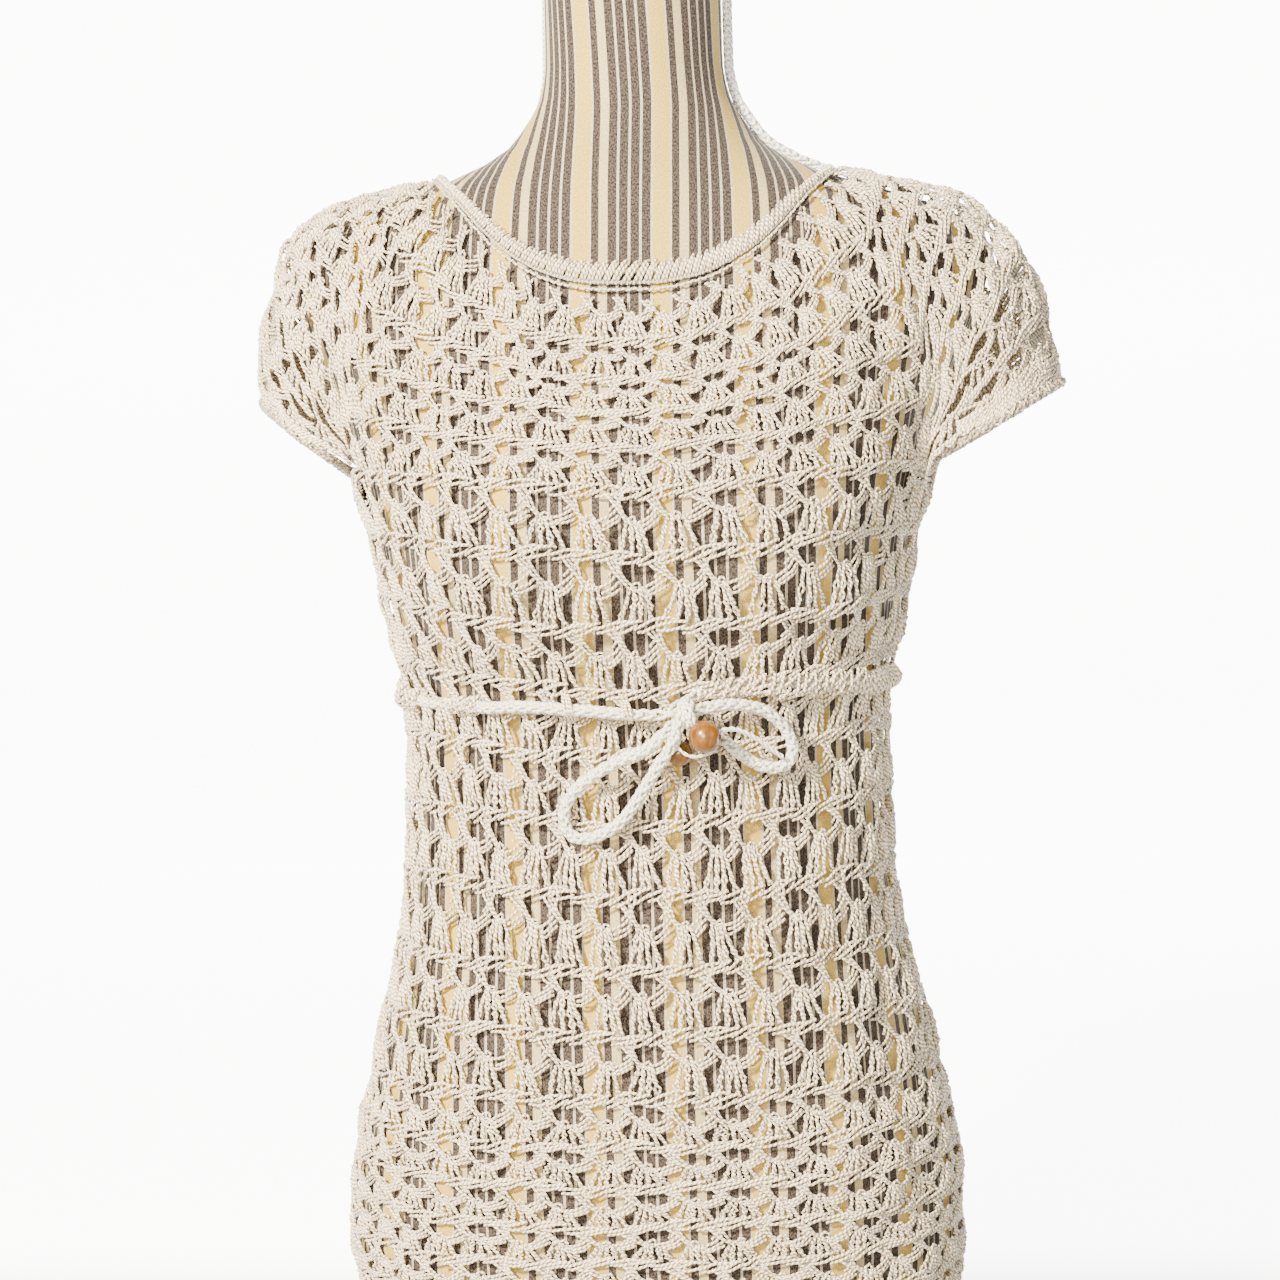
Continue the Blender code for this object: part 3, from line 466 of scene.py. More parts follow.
    def at(self, place, down):
        over = math.sin(math.pi * min(max(place - 1, 0), 1))
        gap = clothGap + (yokeGap - clothGap) * min(1, 8 * (1 - down)) + turnGap * over * math.sin(math.pi * down)
        point = np.array(lifted(self.inner(place, down), gap))
        out = np.array(self.normal(place, down))
        mirror = np.array([self.sleeve["side"], 1, 1])
        return point * mirror, out * mirror

    def yokeEnd(self, place):
        over = min(max(place - 1, 0), 1)
        return 1 - (1 - sleeveStart) * math.sin(math.pi * over)**0.7


yokes = {side: Yoke(sleeve) for side, sleeve in sleeveSet.items()}
print("surfaces ready")


# materials

def addNode(tree, kind, settings=None, **links):
    node = tree.nodes.new(kind)
    for name, value in (settings or {}).items():
        if hasattr(node, name):
            setattr(node, name, value)
        else:
            node.inputs[name].default_value = value
    for name, source in links.items():
        key = int(name[1:]) if name[1:].isdigit() else name.replace("_", " ")
        if isinstance(source, bpy.types.NodeSocket):
            tree.links.new(source, node.inputs[key])
        elif isinstance(source, bpy.types.Node):
            tree.links.new(source.outputs[0], node.inputs[key])
        else:
            node.inputs[key].default_value = source
    return node


def newMaterial(name, colour, roughness, **shader):
    material = bpy.data.materials.new(name)
    material.use_nodes = True
    tree = material.node_tree
    bsdf = tree.nodes["Principled BSDF"]
    bsdf.inputs["Base Color"].default_value = linear(colour)
    bsdf.inputs["Roughness"].default_value = roughness
    for key, value in shader.items():
        bsdf.inputs[key.replace("_", " ")].default_value = value
    return material, tree, bsdf


def ramp(tree, factor, stops, interpolation="LINEAR"):
    node = addNode(tree, "ShaderNodeValToRGB", None, Fac=factor)
    node.color_ramp.interpolation = interpolation
    elements = node.color_ramp.elements
    while len(elements) < len(stops):
        elements.new(0.5)
    for element, (place, colour) in zip(elements, stops):
        element.position = place
        element.color = linear(colour)
    return node


# cotton yarn: matt, a little sheen from the loose fibres, painted shade in the plies' grooves and a painted highlight
# on their crests as slanting lines, and painted shade where a strand lies deep between others
yarnSet = dict(light="#FFF8E4", mid="#DBC294", dark="#5E4524", ply=0.0025, fuzz=0.0010, bump=1.0,
               deep=(0.0008, 0.0023), deepTone=0.52)
# the drawstring's cotton is whiter and more tightly worked, so its plies show less, with fainter painted shade in their
# grooves
tieYarnSet = dict(light="#FBF7E8", mid="#EBE5D0", dark="#A2977A", ply=0.0026, fuzz=0.0010, bump=0.6)


def makeYarn(name, s, sheen=0.25):
    material, tree, bsdf = newMaterial(name, s["mid"], 0.62, Sheen_Weight=sheen, Sheen_Roughness=0.5,
                                       Specular_IOR_Level=0.4)
    ply = addNode(tree, "ShaderNodeAttribute", dict(attribute_name="ply"))
    apart = addNode(tree, "ShaderNodeSeparateXYZ", None, Vector=ply.outputs["Vector"])
    along = addNode(tree, "ShaderNodeMath", dict(operation="MULTIPLY"), _0=apart.outputs["X"],
                    _1=2 * math.pi / s["ply"])
    sine = addNode(tree, "ShaderNodeMath", dict(operation="SINE"), _0=along)
    cosine = addNode(tree, "ShaderNodeMath", dict(operation="COSINE"), _0=along)
    one = addNode(tree, "ShaderNodeMath", dict(operation="MULTIPLY"), _0=sine, _1=apart.outputs["Y"])
    twist = addNode(tree, "ShaderNodeMath", dict(operation="MULTIPLY_ADD"), _0=cosine,
                    _1=apart.outputs["Z"], _2=one)
    level = addNode(tree, "ShaderNodeMath", dict(operation="MULTIPLY_ADD"), _0=twist, _1=0.5, _2=0.5)
    place = addNode(tree, "ShaderNodeTexCoord")
    fuzz = addNode(tree, "ShaderNodeTexNoise", dict(Scale=1 / s["fuzz"], Detail=3, Roughness=0.6),
                   Vector=place.outputs["Object"])
    patch = addNode(tree, "ShaderNodeTexNoise", dict(Scale=45, Detail=2), Vector=place.outputs["Object"])
    mixed = addNode(tree, "ShaderNodeMath", dict(operation="MULTIPLY_ADD"), _0=fuzz.outputs["Fac"], _1=0.5,
                    _2=addNode(tree, "ShaderNodeMath", dict(operation="MULTIPLY"), _0=level, _1=0.6).outputs[0])
    # the ramp paints shade into the plies' grooves and a highlight on their crests, mixed with a random fuzz tone
    tone = ramp(tree, mixed, [(0.22, s["dark"]), (0.47, s["mid"]), (0.73, s["light"])])
    value = addNode(tree, "ShaderNodeMapRange", {"To Min": 0.93, "To Max": 1.06}, Value=patch.outputs["Fac"])
    # painted shade: strands that lie deep between others are darkened by their lift off the cloth
    if "deep" in s:
        deep = addNode(tree, "ShaderNodeAttribute", dict(attribute_name="lift"))
        shade = addNode(tree, "ShaderNodeMapRange", {"From Min": s["deep"][0], "From Max": s["deep"][1],
                                                     "To Min": s["deepTone"], "To Max": 1.03},
                        Value=deep.outputs["Fac"])
        value = addNode(tree, "ShaderNodeMath", dict(operation="MULTIPLY"), _0=value, _1=shade)
    wash = addNode(tree, "ShaderNodeHueSaturation", None, Color=tone, Value=value)
    tree.links.new(wash.outputs[0], bsdf.inputs["Base Color"])
    bump = addNode(tree, "ShaderNodeBump", dict(Strength=s["bump"], Distance=0.0005), Height=mixed)
    tree.links.new(bump.outputs[0], bsdf.inputs["Normal"])
    return material


yarn = makeYarn("plied cotton yarn", yarnSet)
tieYarn = makeYarn("crocheted cotton cord", tieYarnSet)
print("materials ready")


# the stitches, as strands in a cell of their own: 0 to 1 across, 0 to 1 down, and metres out
shellSets = {
    "open": dict(posts=4, shoulder=0.41, top=(0.25, 0.56), foot=(0.04, 0.80), footLine=0.93, crown=0.0012,
                 ring=(0.10, 0.065), ridge=1.0),
    "dense": dict(posts=5, shoulder=0.38, top=(0.22, 0.60), foot=(0.02, 0.92), footLine=0.94, crown=0.0013,
                  ring=(0.09, 0.085), ridge=1.2),
    "low": dict(posts=5, shoulder=0.45, top=(0.22, 0.60), foot=(0.02, 0.88), footLine=0.92, crown=0.0010,
                ring=(0.11, 0.105), ridge=1.3)}
strandSet = dict(radius=0.00075, mid=0.0014, raised=0.0021, twist=0.064, turns=1.6, sides=4, variants=6, seed=7)


def shellStrands(s, vary):
    # the posts of one shell, each two yarns wound about each other; the pillar that it hangs from the ridge
    # by; and the slanting chain with its ring that leads to the next pillar
    mid, up, low = strandSet["mid"], strandSet["raised"], s["shoulder"]
    strands = []
    lean = vary() * 0.03
    for i in range(s["posts"]):
        part = i / (s["posts"] - 1)
        top = (s["top"][0] + (s["top"][1] - s["top"][0]) * part + vary() * 0.025 + lean,
               low + 0.06 * abs(part - 0.4) + vary() * 0.02)
        foot = (s["foot"][0] + (s["foot"][1] - s["foot"][0]) * part + vary() * 0.03, s["footLine"])
        crown = s["crown"] * math.sin(math.pi * (0.12 + 0.76 * part))
        start, post = vary() * 1.5 + 1.9 * i, []
        for way in (1, -1):
            for t in ((0, 0.26, 0.5, 0.75, 1.0) if way > 0 else (0.97, 0.72, 0.48, 0.25, 0.0)):
                swing = 2 * math.pi * strandSet["turns"] * t + start
                rise = mid + crown * math.sin(math.pi * (0.15 + 0.65 * t)) + way * 0.0008 * math.sin(swing)
                post.append((foot[0] + (top[0] - foot[0]) * t
                             + way * strandSet["twist"] * (1 - 0.25 * t) * math.cos(swing),
                             foot[1] + (top[1] - foot[1]) * t, rise if t > 0.1 else 0.0012, 1.03))
        strands.append(post)
    strands += [[(x + vary() * 0.012, y * low, mid + rise) for x, y, rise in strand] for strand in (
        ((-0.30, 0.10, 0.0008), (-0.19, 0.32, 0.0010), (-0.05, 0.54, 0.0011), (0.10, 0.77, 0.0008),
         (0.27, 1.05, 0.0004)),
        ((0.12, 0.08, 0.0006), (0.05, 0.30, 0.0002), (-0.07, 0.52, 0.0002), (-0.20, 0.74, 0.0004)),
        ((-0.12, 0.05, 0.0002), (0.01, 0.26, 0.0005), (0.09, 0.52, 0.0004), (0.18, 0.80, 0.0001), (0.38, 1.06, 0.0003)),
        ((-0.22, 0.06, -0.0002), (-0.12, 0.28, -0.0002), (0.02, 0.50, 0.0002), (0.04, 0.70, 0.0002)))]
    strands += [[(x, y * low + vary() * 0.008, mid + rise) for x, y, rise in strand] for strand in (
        ((0.42, 1.22, 0.0002), (0.56, 1.10, 0.0005), (0.72, 1.00, 0.0008), (0.87, 0.86, 0.0008), (1.00, 0.66, 0.0004)),
        ((0.66, 1.26, 0.0006), (0.79, 1.16, 0.0008), (0.92, 1.02, 0.0006), (1.06, 0.84, 0.0001)),
        ((0.56, 1.40, 0.0002), (0.74, 1.36, 0.0005), (0.90, 1.22, 0.0004), (1.08, 1.04, 0.0001)))]
    across, along = s["ring"]
    start = vary() * 0.5
    strands.append([(0.42 + vary() * 0.02 + across * math.cos(start + a), 1.02 * low + along * math.sin(start + a),
                     up + 0.0003 * math.sin(2 * a), 0.92) for a in np.linspace(0.0, 2 * math.pi * 0.98, 7)])
    return strands


def ridgeStrands(vary, tall=1.0):
    # slanting strands that climb over one another, the backs of the last row's shells above and below them,
    # and an eye between two short ones over each pillar
    mid, up = strandSet["mid"], strandSet["raised"]
    strands = [[(-0.10, -0.072, up), (0.14, -0.090, up + 0.0003), (0.42, -0.062, mid)],
               [(-0.10, 0.06, up - 0.0005), (-0.07, -0.06, up - 0.0002)],
               [(0.12, 0.07, up - 0.0003), (0.10, -0.07, up)]]
    for x in (0, 0.50):
        slip, tilt = vary() * 0.05, vary() * 0.014
        strands += [[(x - 0.10 + slip, 0.045 + tilt, up - 0.0005), (x + 0.09 + slip, 0.0, up + 0.0003),
                     (x + 0.31, -0.055 - tilt, up + 0.0006), (x + 0.58, -0.085 - tilt, up)],
                    [(x - 0.03 + slip, 0.095, up - 0.0006), (x + 0.17, 0.074 + tilt, up),
                     (x + 0.38, 0.024 + tilt, up + 0.0003), (x + 0.53, -0.02, mid)]]
    return [[(x, y * tall) + tuple(rest) for x, y, *rest in strand] for strand in strands]


def ropeStrands(vary):
    # one leaning stitch of the neck band's rope beside a thinner one, the edge yarn and the ones behind
    tip, size = vary() * 0.04, 0.98 + vary() * 0.08
    return [
        [(-0.60, 0.66, 0.0008, size * 0.8), (-0.25, 0.52, 0.0018, size), (0.20, 0.29, 0.0024, size * 1.05),
         (0.66, 0.10 + tip, 0.0022, size), (1.02, 0.01 + tip, 0.0012, size * 0.8)],
        [(-0.12, 0.68, 0.0008, 0.7), (0.20, 0.50, 0.0016, 0.78), (0.62, 0.28, 0.0021, 0.78),
         (1.0, 0.12, 0.0016, 0.7)],
        [(0, 0.86, 0.0017, 0.8), (0.5, 0.82, 0.0019, 0.8), (1, 0.86, 0.0017, 0.8)],
        [(0, 0.30, 0.0006, 1.7), (1, 0.30, 0.0006, 1.7)], [(0, 0.62, 0.0005, 1.0), (1, 0.62, 0.0005, 1.0)]]


def coverStrands(vary):
    # the stitches of the net that run over the drawstring where it lies under them: shallow strands and
    # steeper ones that cross them, all on the cord's own round
    def over(y):
        return max(0.0034 + math.sqrt(max(0.0040**2 - (y * 0.0283)**2, 0)), 0.0030) if abs(y) < 0.14 else 0.0024

    routes = [((x + vary() * 0.06, y + 0.05), (x + 0.26, y + vary() * 0.02), (x + 0.54, y - 0.05))
              for y in (-0.095, 0.0, 0.095) for x in (-0.55, -0.02)]
    routes += [((x, 0.17), (x + 0.10 + vary() * 0.05, 0.07), (x + 0.17 + vary() * 0.05, -0.05), (x + 0.30, -0.16))
               for x in (-0.56, -0.30, -0.06, 0.20)]
    return [[(x, y, over(y) + (0.0006 if len(route) > 3 else 0), 1.08) for x, y in route] for route in routes]


def carrierStrands(vary):
    # the stitches of the net that hold the drawstring down where it passes under them
    over, low = 0.0118, 0.0026
    return [[(x - 0.05, -0.20, low), (x, -0.155, 0.0075), (x + 0.03, -0.06, over), (x + 0.06, 0.05, over),
             (x + 0.05, 0.140, 0.0070), (x + 0.02, 0.190, low)] for x in (-0.11, -0.02, 0.07)]


def braidStrands(vary):
    # two yarns that run round a cord in opposite ways, each over and then under the other
    return [[(4 * t, (t if way > 0 else 1 - t), 0.0004 * way * math.cos(8 * math.pi * t))
             for t in np.linspace(0, 1, 15)] for way in (1, -1)]


def closeStrands(vary):
    # what fills the far side of a sleeve behind its shells
    return [[(-0.05, y + vary() * 0.02, 0.0005, 2.1), (1.05, y + 0.04 + vary() * 0.02, 0.0005, 2.1)]
            for y in np.arange(0.05, 1.0, 0.10)]


def edgeStrands(vary):
    # one small loop of the sleeve's edge, over the rope of the cuff
    reach = 0.24 + vary() * 0.05
    return [[(0.05, -0.06, 0.0014), (0.22, reach * 0.5, 0.0030), (0.48 + vary() * 0.05, reach, 0.0032),
             (0.76, reach * 0.6, 0.0028), (0.98, -0.05, 0.0014)]]


def shellRow(kind):
    s = shellSets[kind]
    return lambda vary: shellStrands(s, vary) + ridgeStrands(vary, s["ridge"])


stitchKinds = {"open": shellRow("open"), "dense": shellRow("dense"), "low": shellRow("low"),
               "first": lambda vary: shellStrands(shellSets["dense"], vary), "ridge": ridgeStrands,
               "rope": ropeStrands, "braid": braidStrands, "edge": edgeStrands, "carrier": carrierStrands,
               "cover": coverStrands, "close": closeStrands}
stitchOrder = list(stitchKinds)


def makeStitches():
    collection = bpy.data.collections.new("stitches")
    chance = random.Random(strandSet["seed"])
    for number, kind in enumerate(stitchOrder):
        for k in range(strandSet["variants"]):
            curve = bpy.data.curves.new(f"{number}_{kind}_{k}", "CURVE")
            curve.dimensions = "3D"
            for points in stitchKinds[kind](lambda: chance.uniform(-1, 1)):
                spline = curve.splines.new("POLY")
                spline.points.add(len(points) - 1)
                for target, point in zip(spline.points, points):
                    target.co = (*point[:3], 1)
                    target.radius = point[3] if len(point) > 3 else 1
            collection.objects.link(bpy.data.objects.new(curve.name, curve))
    return collection


stitches = makeStitches()


# the crochet tree: shells on points of a flat plan, laid on the cloth's own sheet, then given their yarn

def groupSocket(tree, name, kind, way="INPUT", default=None):
    socket = tree.interface.new_socket(name=name, in_out=way, socket_type=kind)
    if default is not None:
        socket.default_value = default


def yarnTubes(tree, curves, radius, sides, material):
    ring = addNode(tree, "GeometryNodeCurvePrimitiveCircle", dict(Radius=1.0), Resolution=sides)
    factor = addNode(tree, "GeometryNodeSplineParameter")
    turn = addNode(tree, "ShaderNodeMath", dict(operation="MULTIPLY"), _0=factor.outputs["Factor"], _1=2 * math.pi)
    cosine = addNode(tree, "ShaderNodeMath", dict(operation="COSINE"), _0=turn)
    sine = addNode(tree, "ShaderNodeMath", dict(operation="SINE"), _0=turn)
    lay = addNode(tree, "ShaderNodeCombineXYZ", None, X=0.0, Y=cosine, Z=sine)
    profile = addNode(tree, "GeometryNodeStoreNamedAttribute", dict(data_type="FLOAT_VECTOR", domain="POINT"),
                      Geometry=ring, Name="round", Value=lay)
    far = addNode(tree, "GeometryNodeSplineParameter")
    long = addNode(tree, "GeometryNodeStoreNamedAttribute", dict(data_type="FLOAT", domain="POINT"),
                   Geometry=curves, Name="far", Value=far.outputs["Length"])
    scale = addNode(tree, "GeometryNodeInputRadius")
    thick = addNode(tree, "ShaderNodeMath", dict(operation="MULTIPLY"), _0=scale, _1=radius)
    tube = addNode(tree, "GeometryNodeCurveToMesh", {"Fill Caps": True}, Curve=long, Profile_Curve=profile,
                   Scale=thick)
    turnBack = addNode(tree, "GeometryNodeInputNamedAttribute", dict(data_type="FLOAT_VECTOR", Name="round"))
    farBack = addNode(tree, "GeometryNodeInputNamedAttribute", dict(data_type="FLOAT", Name="far"))
    apart = addNode(tree, "ShaderNodeSeparateXYZ", None, Vector=turnBack.outputs[0])
    ply = addNode(tree, "ShaderNodeCombineXYZ", None, X=farBack.outputs[0], Y=apart.outputs["Y"],
                  Z=apart.outputs["Z"])
    kept = addNode(tree, "GeometryNodeStoreNamedAttribute", dict(data_type="FLOAT_VECTOR", domain="POINT"),
                   Geometry=tube, Name="ply", Value=ply)
    for name in ("round", "far"):
        kept = addNode(tree, "GeometryNodeRemoveAttribute", dict(Name=name), Geometry=kept)
    smooth = addNode(tree, "GeometryNodeSetShadeSmooth", None, Geometry=kept)
    return addNode(tree, "GeometryNodeSetMaterial", None, Geometry=smooth, Material=material)


def makeCrochetTree():
    tree = bpy.data.node_groups.new("crochet on a sheet", "GeometryNodeTree")
    groupSocket(tree, "Plan", "NodeSocketGeometry")
    groupSocket(tree, "Sheet", "NodeSocketObject")
    groupSocket(tree, "Stitches", "NodeSocketCollection")
    groupSocket(tree, "Yarn", "NodeSocketMaterial")
    groupSocket(tree, "Yarn Radius", "NodeSocketFloat", default=strandSet["radius"])
    groupSocket(tree, "Unevenness", "NodeSocketFloat", default=0.0008)
    groupSocket(tree, "Wander", "NodeSocketFloat", default=0.0)
    groupSocket(tree, "Sides", "NodeSocketInt", default=strandSet["sides"])
    groupSocket(tree, "Seed", "NodeSocketInt", default=3)
    groupSocket(tree, "Crochet", "NodeSocketGeometry", "OUTPUT")
    given = addNode(tree, "NodeGroupInput")
    shellSet = addNode(tree, "GeometryNodeCollectionInfo", {"Separate Children": True, "Reset Children": True},
                       Collection=given.outputs["Stitches"])
    pick = addNode(tree, "GeometryNodeInputNamedAttribute", dict(data_type="INT", Name="pick"))
    size = addNode(tree, "GeometryNodeInputNamedAttribute", dict(data_type="FLOAT_VECTOR", Name="size"))
    placed = addNode(tree, "GeometryNodeInstanceOnPoints", {"Pick Instance": True}, Points=given.outputs["Plan"],
                     Instance=shellSet, Instance_Index=pick.outputs[0], Scale=size.outputs[0])
    real = addNode(tree, "GeometryNodeRealizeInstances", None, Geometry=placed)
    sheet = addNode(tree, "GeometryNodeObjectInfo", None, Object=given.outputs["Sheet"])
    flat = addNode(tree, "GeometryNodeInputNamedAttribute", dict(data_type="FLOAT_VECTOR", Name="flat"))
    outward = addNode(tree, "GeometryNodeInputNamedAttribute", dict(data_type="FLOAT_VECTOR", Name="outward"))
    here = addNode(tree, "GeometryNodeInputPosition")
    place = addNode(tree, "GeometryNodeInputPosition")
    apart = addNode(tree, "ShaderNodeSeparateXYZ", None, Vector=place)
    onSheet = [addNode(tree, "GeometryNodeSampleUVSurface", dict(data_type="FLOAT_VECTOR"),
                       Mesh=sheet.outputs["Geometry"], Value=value, UV_Map=flat.outputs[0], Sample_UV=place)
               for value in (here.outputs[0], outward.outputs[0])]
    out = addNode(tree, "ShaderNodeVectorMath", dict(operation="SCALE"), _0=onSheet[1].outputs[0],
                  Scale=apart.outputs["Z"])
    lies = addNode(tree, "ShaderNodeVectorMath", dict(operation="ADD"), _0=onSheet[0].outputs[0], _1=out)
    lift = addNode(tree, "GeometryNodeStoreNamedAttribute", dict(data_type="FLOAT", domain="POINT"),
                   Geometry=real, Name="lift", Value=apart.outputs["Z"])
    laid = addNode(tree, "GeometryNodeSetPosition", None, Geometry=lift, Position=lies)
    noisePlace = addNode(tree, "GeometryNodeInputPosition")
    noise = addNode(tree, "ShaderNodeTexNoise", dict(noise_dimensions="4D", Scale=230.0, Detail=1.0),
                    Vector=noisePlace, W=given.outputs["Seed"])
    centred = addNode(tree, "ShaderNodeVectorMath", dict(operation="SUBTRACT"), _0=noise.outputs["Color"],
                      _1=(0.5, 0.5, 0.5))
    jog = addNode(tree, "ShaderNodeVectorMath", dict(operation="SCALE"), _0=centred,
                  Scale=given.outputs["Unevenness"])
    uneven = addNode(tree, "GeometryNodeSetPosition", None, Geometry=laid, Offset=jog)
    # and a slower wander, the same for every piece so the seams stay shut
    slow = addNode(tree, "ShaderNodeTexNoise", dict(Scale=38.0, Detail=0.0), Vector=noisePlace)
    slowCentred = addNode(tree, "ShaderNodeVectorMath", dict(operation="SUBTRACT"), _0=slow.outputs["Color"],
                          _1=(0.5, 0.5, 0.5))
    drift = addNode(tree, "ShaderNodeVectorMath", dict(operation="SCALE"), _0=slowCentred,
                    Scale=given.outputs["Wander"])
    uneven = addNode(tree, "GeometryNodeSetPosition", None, Geometry=uneven, Offset=drift)
    made = yarnTubes(tree, uneven, given.outputs["Yarn Radius"], given.outputs["Sides"], given.outputs["Yarn"])
    addNode(tree, "NodeGroupOutput", None, Crochet=made)
    return tree


crochetTree = makeCrochetTree()


def growNodes(base, tree, values, name):
    modifier = base.modifiers.new("nodes", "NODES")
    modifier.node_group = tree
    for item in tree.interface.items_tree:
        if item.in_out == "INPUT" and item.name in values:
            modifier[item.identifier] = values[item.name]
    depsgraph = bpy.context.evaluated_depsgraph_get()
    mesh = bpy.data.meshes.new_from_object(base.evaluated_get(depsgraph), depsgraph=depsgraph)
    base.modifiers.remove(modifier)
    mesh.name = name
    bpy.data.objects.remove(base)
    return addObject(name, mesh)


def makeSheet(name, us, vs, surface):
    # a fine grid of the cloth: its own place in each point, its flat place and its way out as attributes
    points, outs, flats = [], [], []
    for u in us:
        for v in vs:
            point, out = surface(u, v)
            points.append(point)
            outs.append(out)
            flats.append((u, v, 0))
    count = len(vs)
    faces = [(i * count + j, i * count + j + 1, (i + 1) * count + j + 1, (i + 1) * count + j)
             for i in range(len(us) - 1) for j in range(count - 1)]
    made = addMesh(name, points, faces, None)
    for key, values in (("flat", flats), ("outward", outs)):
        attribute = made.data.attributes.new(key, "FLOAT_VECTOR", "POINT")
        attribute.data.foreach_set("vector", np.array(values, float).ravel())
    return made


def makePlan(name, cells):
    # one point a shell, at its corner in the flat plan
    mesh = bpy.data.meshes.new(name)
    mesh.from_pydata([cell["place"] for cell in cells], [], [])
    size = mesh.attributes.new("size", "FLOAT_VECTOR", "POINT")
    size.data.foreach_set("vector", np.array([cell["size"] for cell in cells], float).ravel())
    pick = mesh.attributes.new("pick", "INT", "POINT")
    pick.data.foreach_set("value", [cell["pick"] for cell in cells])
    return addObject(name, mesh)


def clothCut(sheet, cells, length):
    # the flat cut of the cloth that the cells cover: its width for this length
    mesh = sheet.data
    flats, corners = np.empty(len(mesh.vertices) * 3), np.empty(len(mesh.polygons) * 4, int)
    areas = np.empty(len(mesh.polygons))
    mesh.attributes["flat"].data.foreach_get("vector", flats)
    mesh.polygons.foreach_get("vertices", corners)
    mesh.polygons.foreach_get("area", areas)
    middles = flats.reshape(-1, 3)[corners.reshape(-1, 4)].mean(axis=1)
    covered = np.zeros(len(areas), bool)
    for cell in cells:
        (u, v, _), (du, dv, _) = cell["place"], cell["size"]
        covered |= ((middles[:, 0] >= u) & (middles[:, 0] < u + du) & (middles[:, 1] >= max(v, 0))
                    & (middles[:, 1] < min(v + dv, 1)))
    width = float(areas[covered].sum()) / length
    return (width, length)


dice = random.Random(11)


def cellAt(u, v, du, dv, style):
    return dict(place=(u, v, 0), size=(du, dv, 1),
                pick=stitchOrder.index(style) * strandSet["variants"] + dice.randrange(strandSet["variants"]))


def stitch(name, cells, sheet, seed=3, material=None, radius=strandSet["radius"], uneven=0.0026, wander=0.0075):
    piece = growNodes(makePlan("plan", cells), crochetTree,
                      {"Sheet": sheet, "Stitches": stitches, "Yarn": material or yarn, "Yarn Radius": radius,
                       "Sides": strandSet["sides"], "Unevenness": uneven, "Wander": wander, "Seed": seed}, name)
    print(name, sum(len(p.vertices) - 2 for p in piece.data.polygons), "triangles")
    return piece


# the body: 42 shells round, 16 rows down
bodySet = dict(frontShells=8, underShells=5, backShells=8, phase=-0.3, finePerShell=3, finePerRow=4,
               upperRows=8, lowFrom=9)
# the drawstring's run: degrees from the front and height, and where it lies under the net (1) or over it (0)
tieRun = [(13.3, 0.3955), (19, 0.3990), (24, 0.4008), (32, 0.4018), (40, 0.4008), (52, 0.3996), (64, 0.3990),
          (76, 0.3988), (90, 0.3985), (135, 0.4000), (180, 0.4020), (225, 0.4000), (270, 0.3970), (285, 0.3945),
          (300, 0.3915), (315, 0.3915), (330, 0.3938), (345, 0.3915), (360, 0.3886), (365.5, 0.3882)]
tieUnder = [(13.3, 0.1), (16, 0.5), (19, 1), (60, 1), (108, 1), (118, 0), (134, 0), (144, 1), (150, 1), (160, 0),
            (176, 0), (186, 1), (196, 1), (206, 0), (222, 0), (232, 1), (252, 1), (314, 1), (323, 0),
            (360, 0), (365.5, 0)]
# where the net holds it
netOver = dict(carrier=(342.0, 357.6),
               cover=(24, 32, 40, 48, 56, 64, 72, 80, 88, 96, 104, 146, 190, 236, 244, 252, 260, 268, 276, 284,
                      292, 314))
halfShells = bodySet["frontShells"] + bodySet["underShells"] + bodySet["backShells"]


def bodyRing(row):
    # the angle at each shell's edge on one row, spaced by length in each of the three stretches
    angles, lengths = np.linspace(0, math.pi, 181), [0.0]
    points = [bodyInner(a, rowHeight(row, a)) for a in angles]
    for p, q in zip(points, points[1:]):
        lengths.append(lengths[-1] + np.linalg.norm(q - p))
    marks = [0, joinAngle, math.pi - joinAngle, math.pi]
    markLengths = np.interp(marks, angles, lengths)
    counts = np.cumsum([0, bodySet["frontShells"], bodySet["underShells"], bodySet["backShells"]])
    return lambda column: float(np.interp(np.interp(column, counts, markLengths), lengths, angles))


def overTie(kind, turn, wide, tall):
    # a cell of its own at an angle and the drawstring's height on the cloth
    height = float(np.interp(turn, *zip(*tieRun)))
    angle = math.radians(turn if turn < 180 else turn - 360)
    row = float(np.interp(-height, [-rowHeight(r, angle) for r in range(bodyRowCount)], range(bodyRowCount)))
    ring = bodyRing(row)
    columns = np.arange(0, halfShells + 0.05, 0.05)
    column = math.copysign(float(np.interp(abs(angle), [ring(c) for c in columns], columns)), angle)
    return cellAt((column + halfShells) * wide, row * tall, wide, tall, kind)


def makeBodySheet():
    rows = np.arange(-1, bodyRowCount + 1.01, 1 / bodySet["finePerRow"])
    rings = {round(float(row), 4): bodyRing(row) for row in rows}

    def surface(u, v):
        column, row = (u * 2 - 1) * halfShells, v * bodyRowCount
        folded = (column + halfShells) % (2 * halfShells) - halfShells
        angle = math.copysign(rings[round(row, 4)](abs(folded)), folded)
        height = rowHeight(row, angle)
        return bodyInner(angle, height), formNormal(angle, height)

    fine = bodySet["finePerShell"]
    us = (np.arange(-2 * fine, (2 * halfShells + 2) * fine + 1) / fine) / (2 * halfShells)
    return makeSheet("sheet_body", us, rows / bodyRowCount, surface)


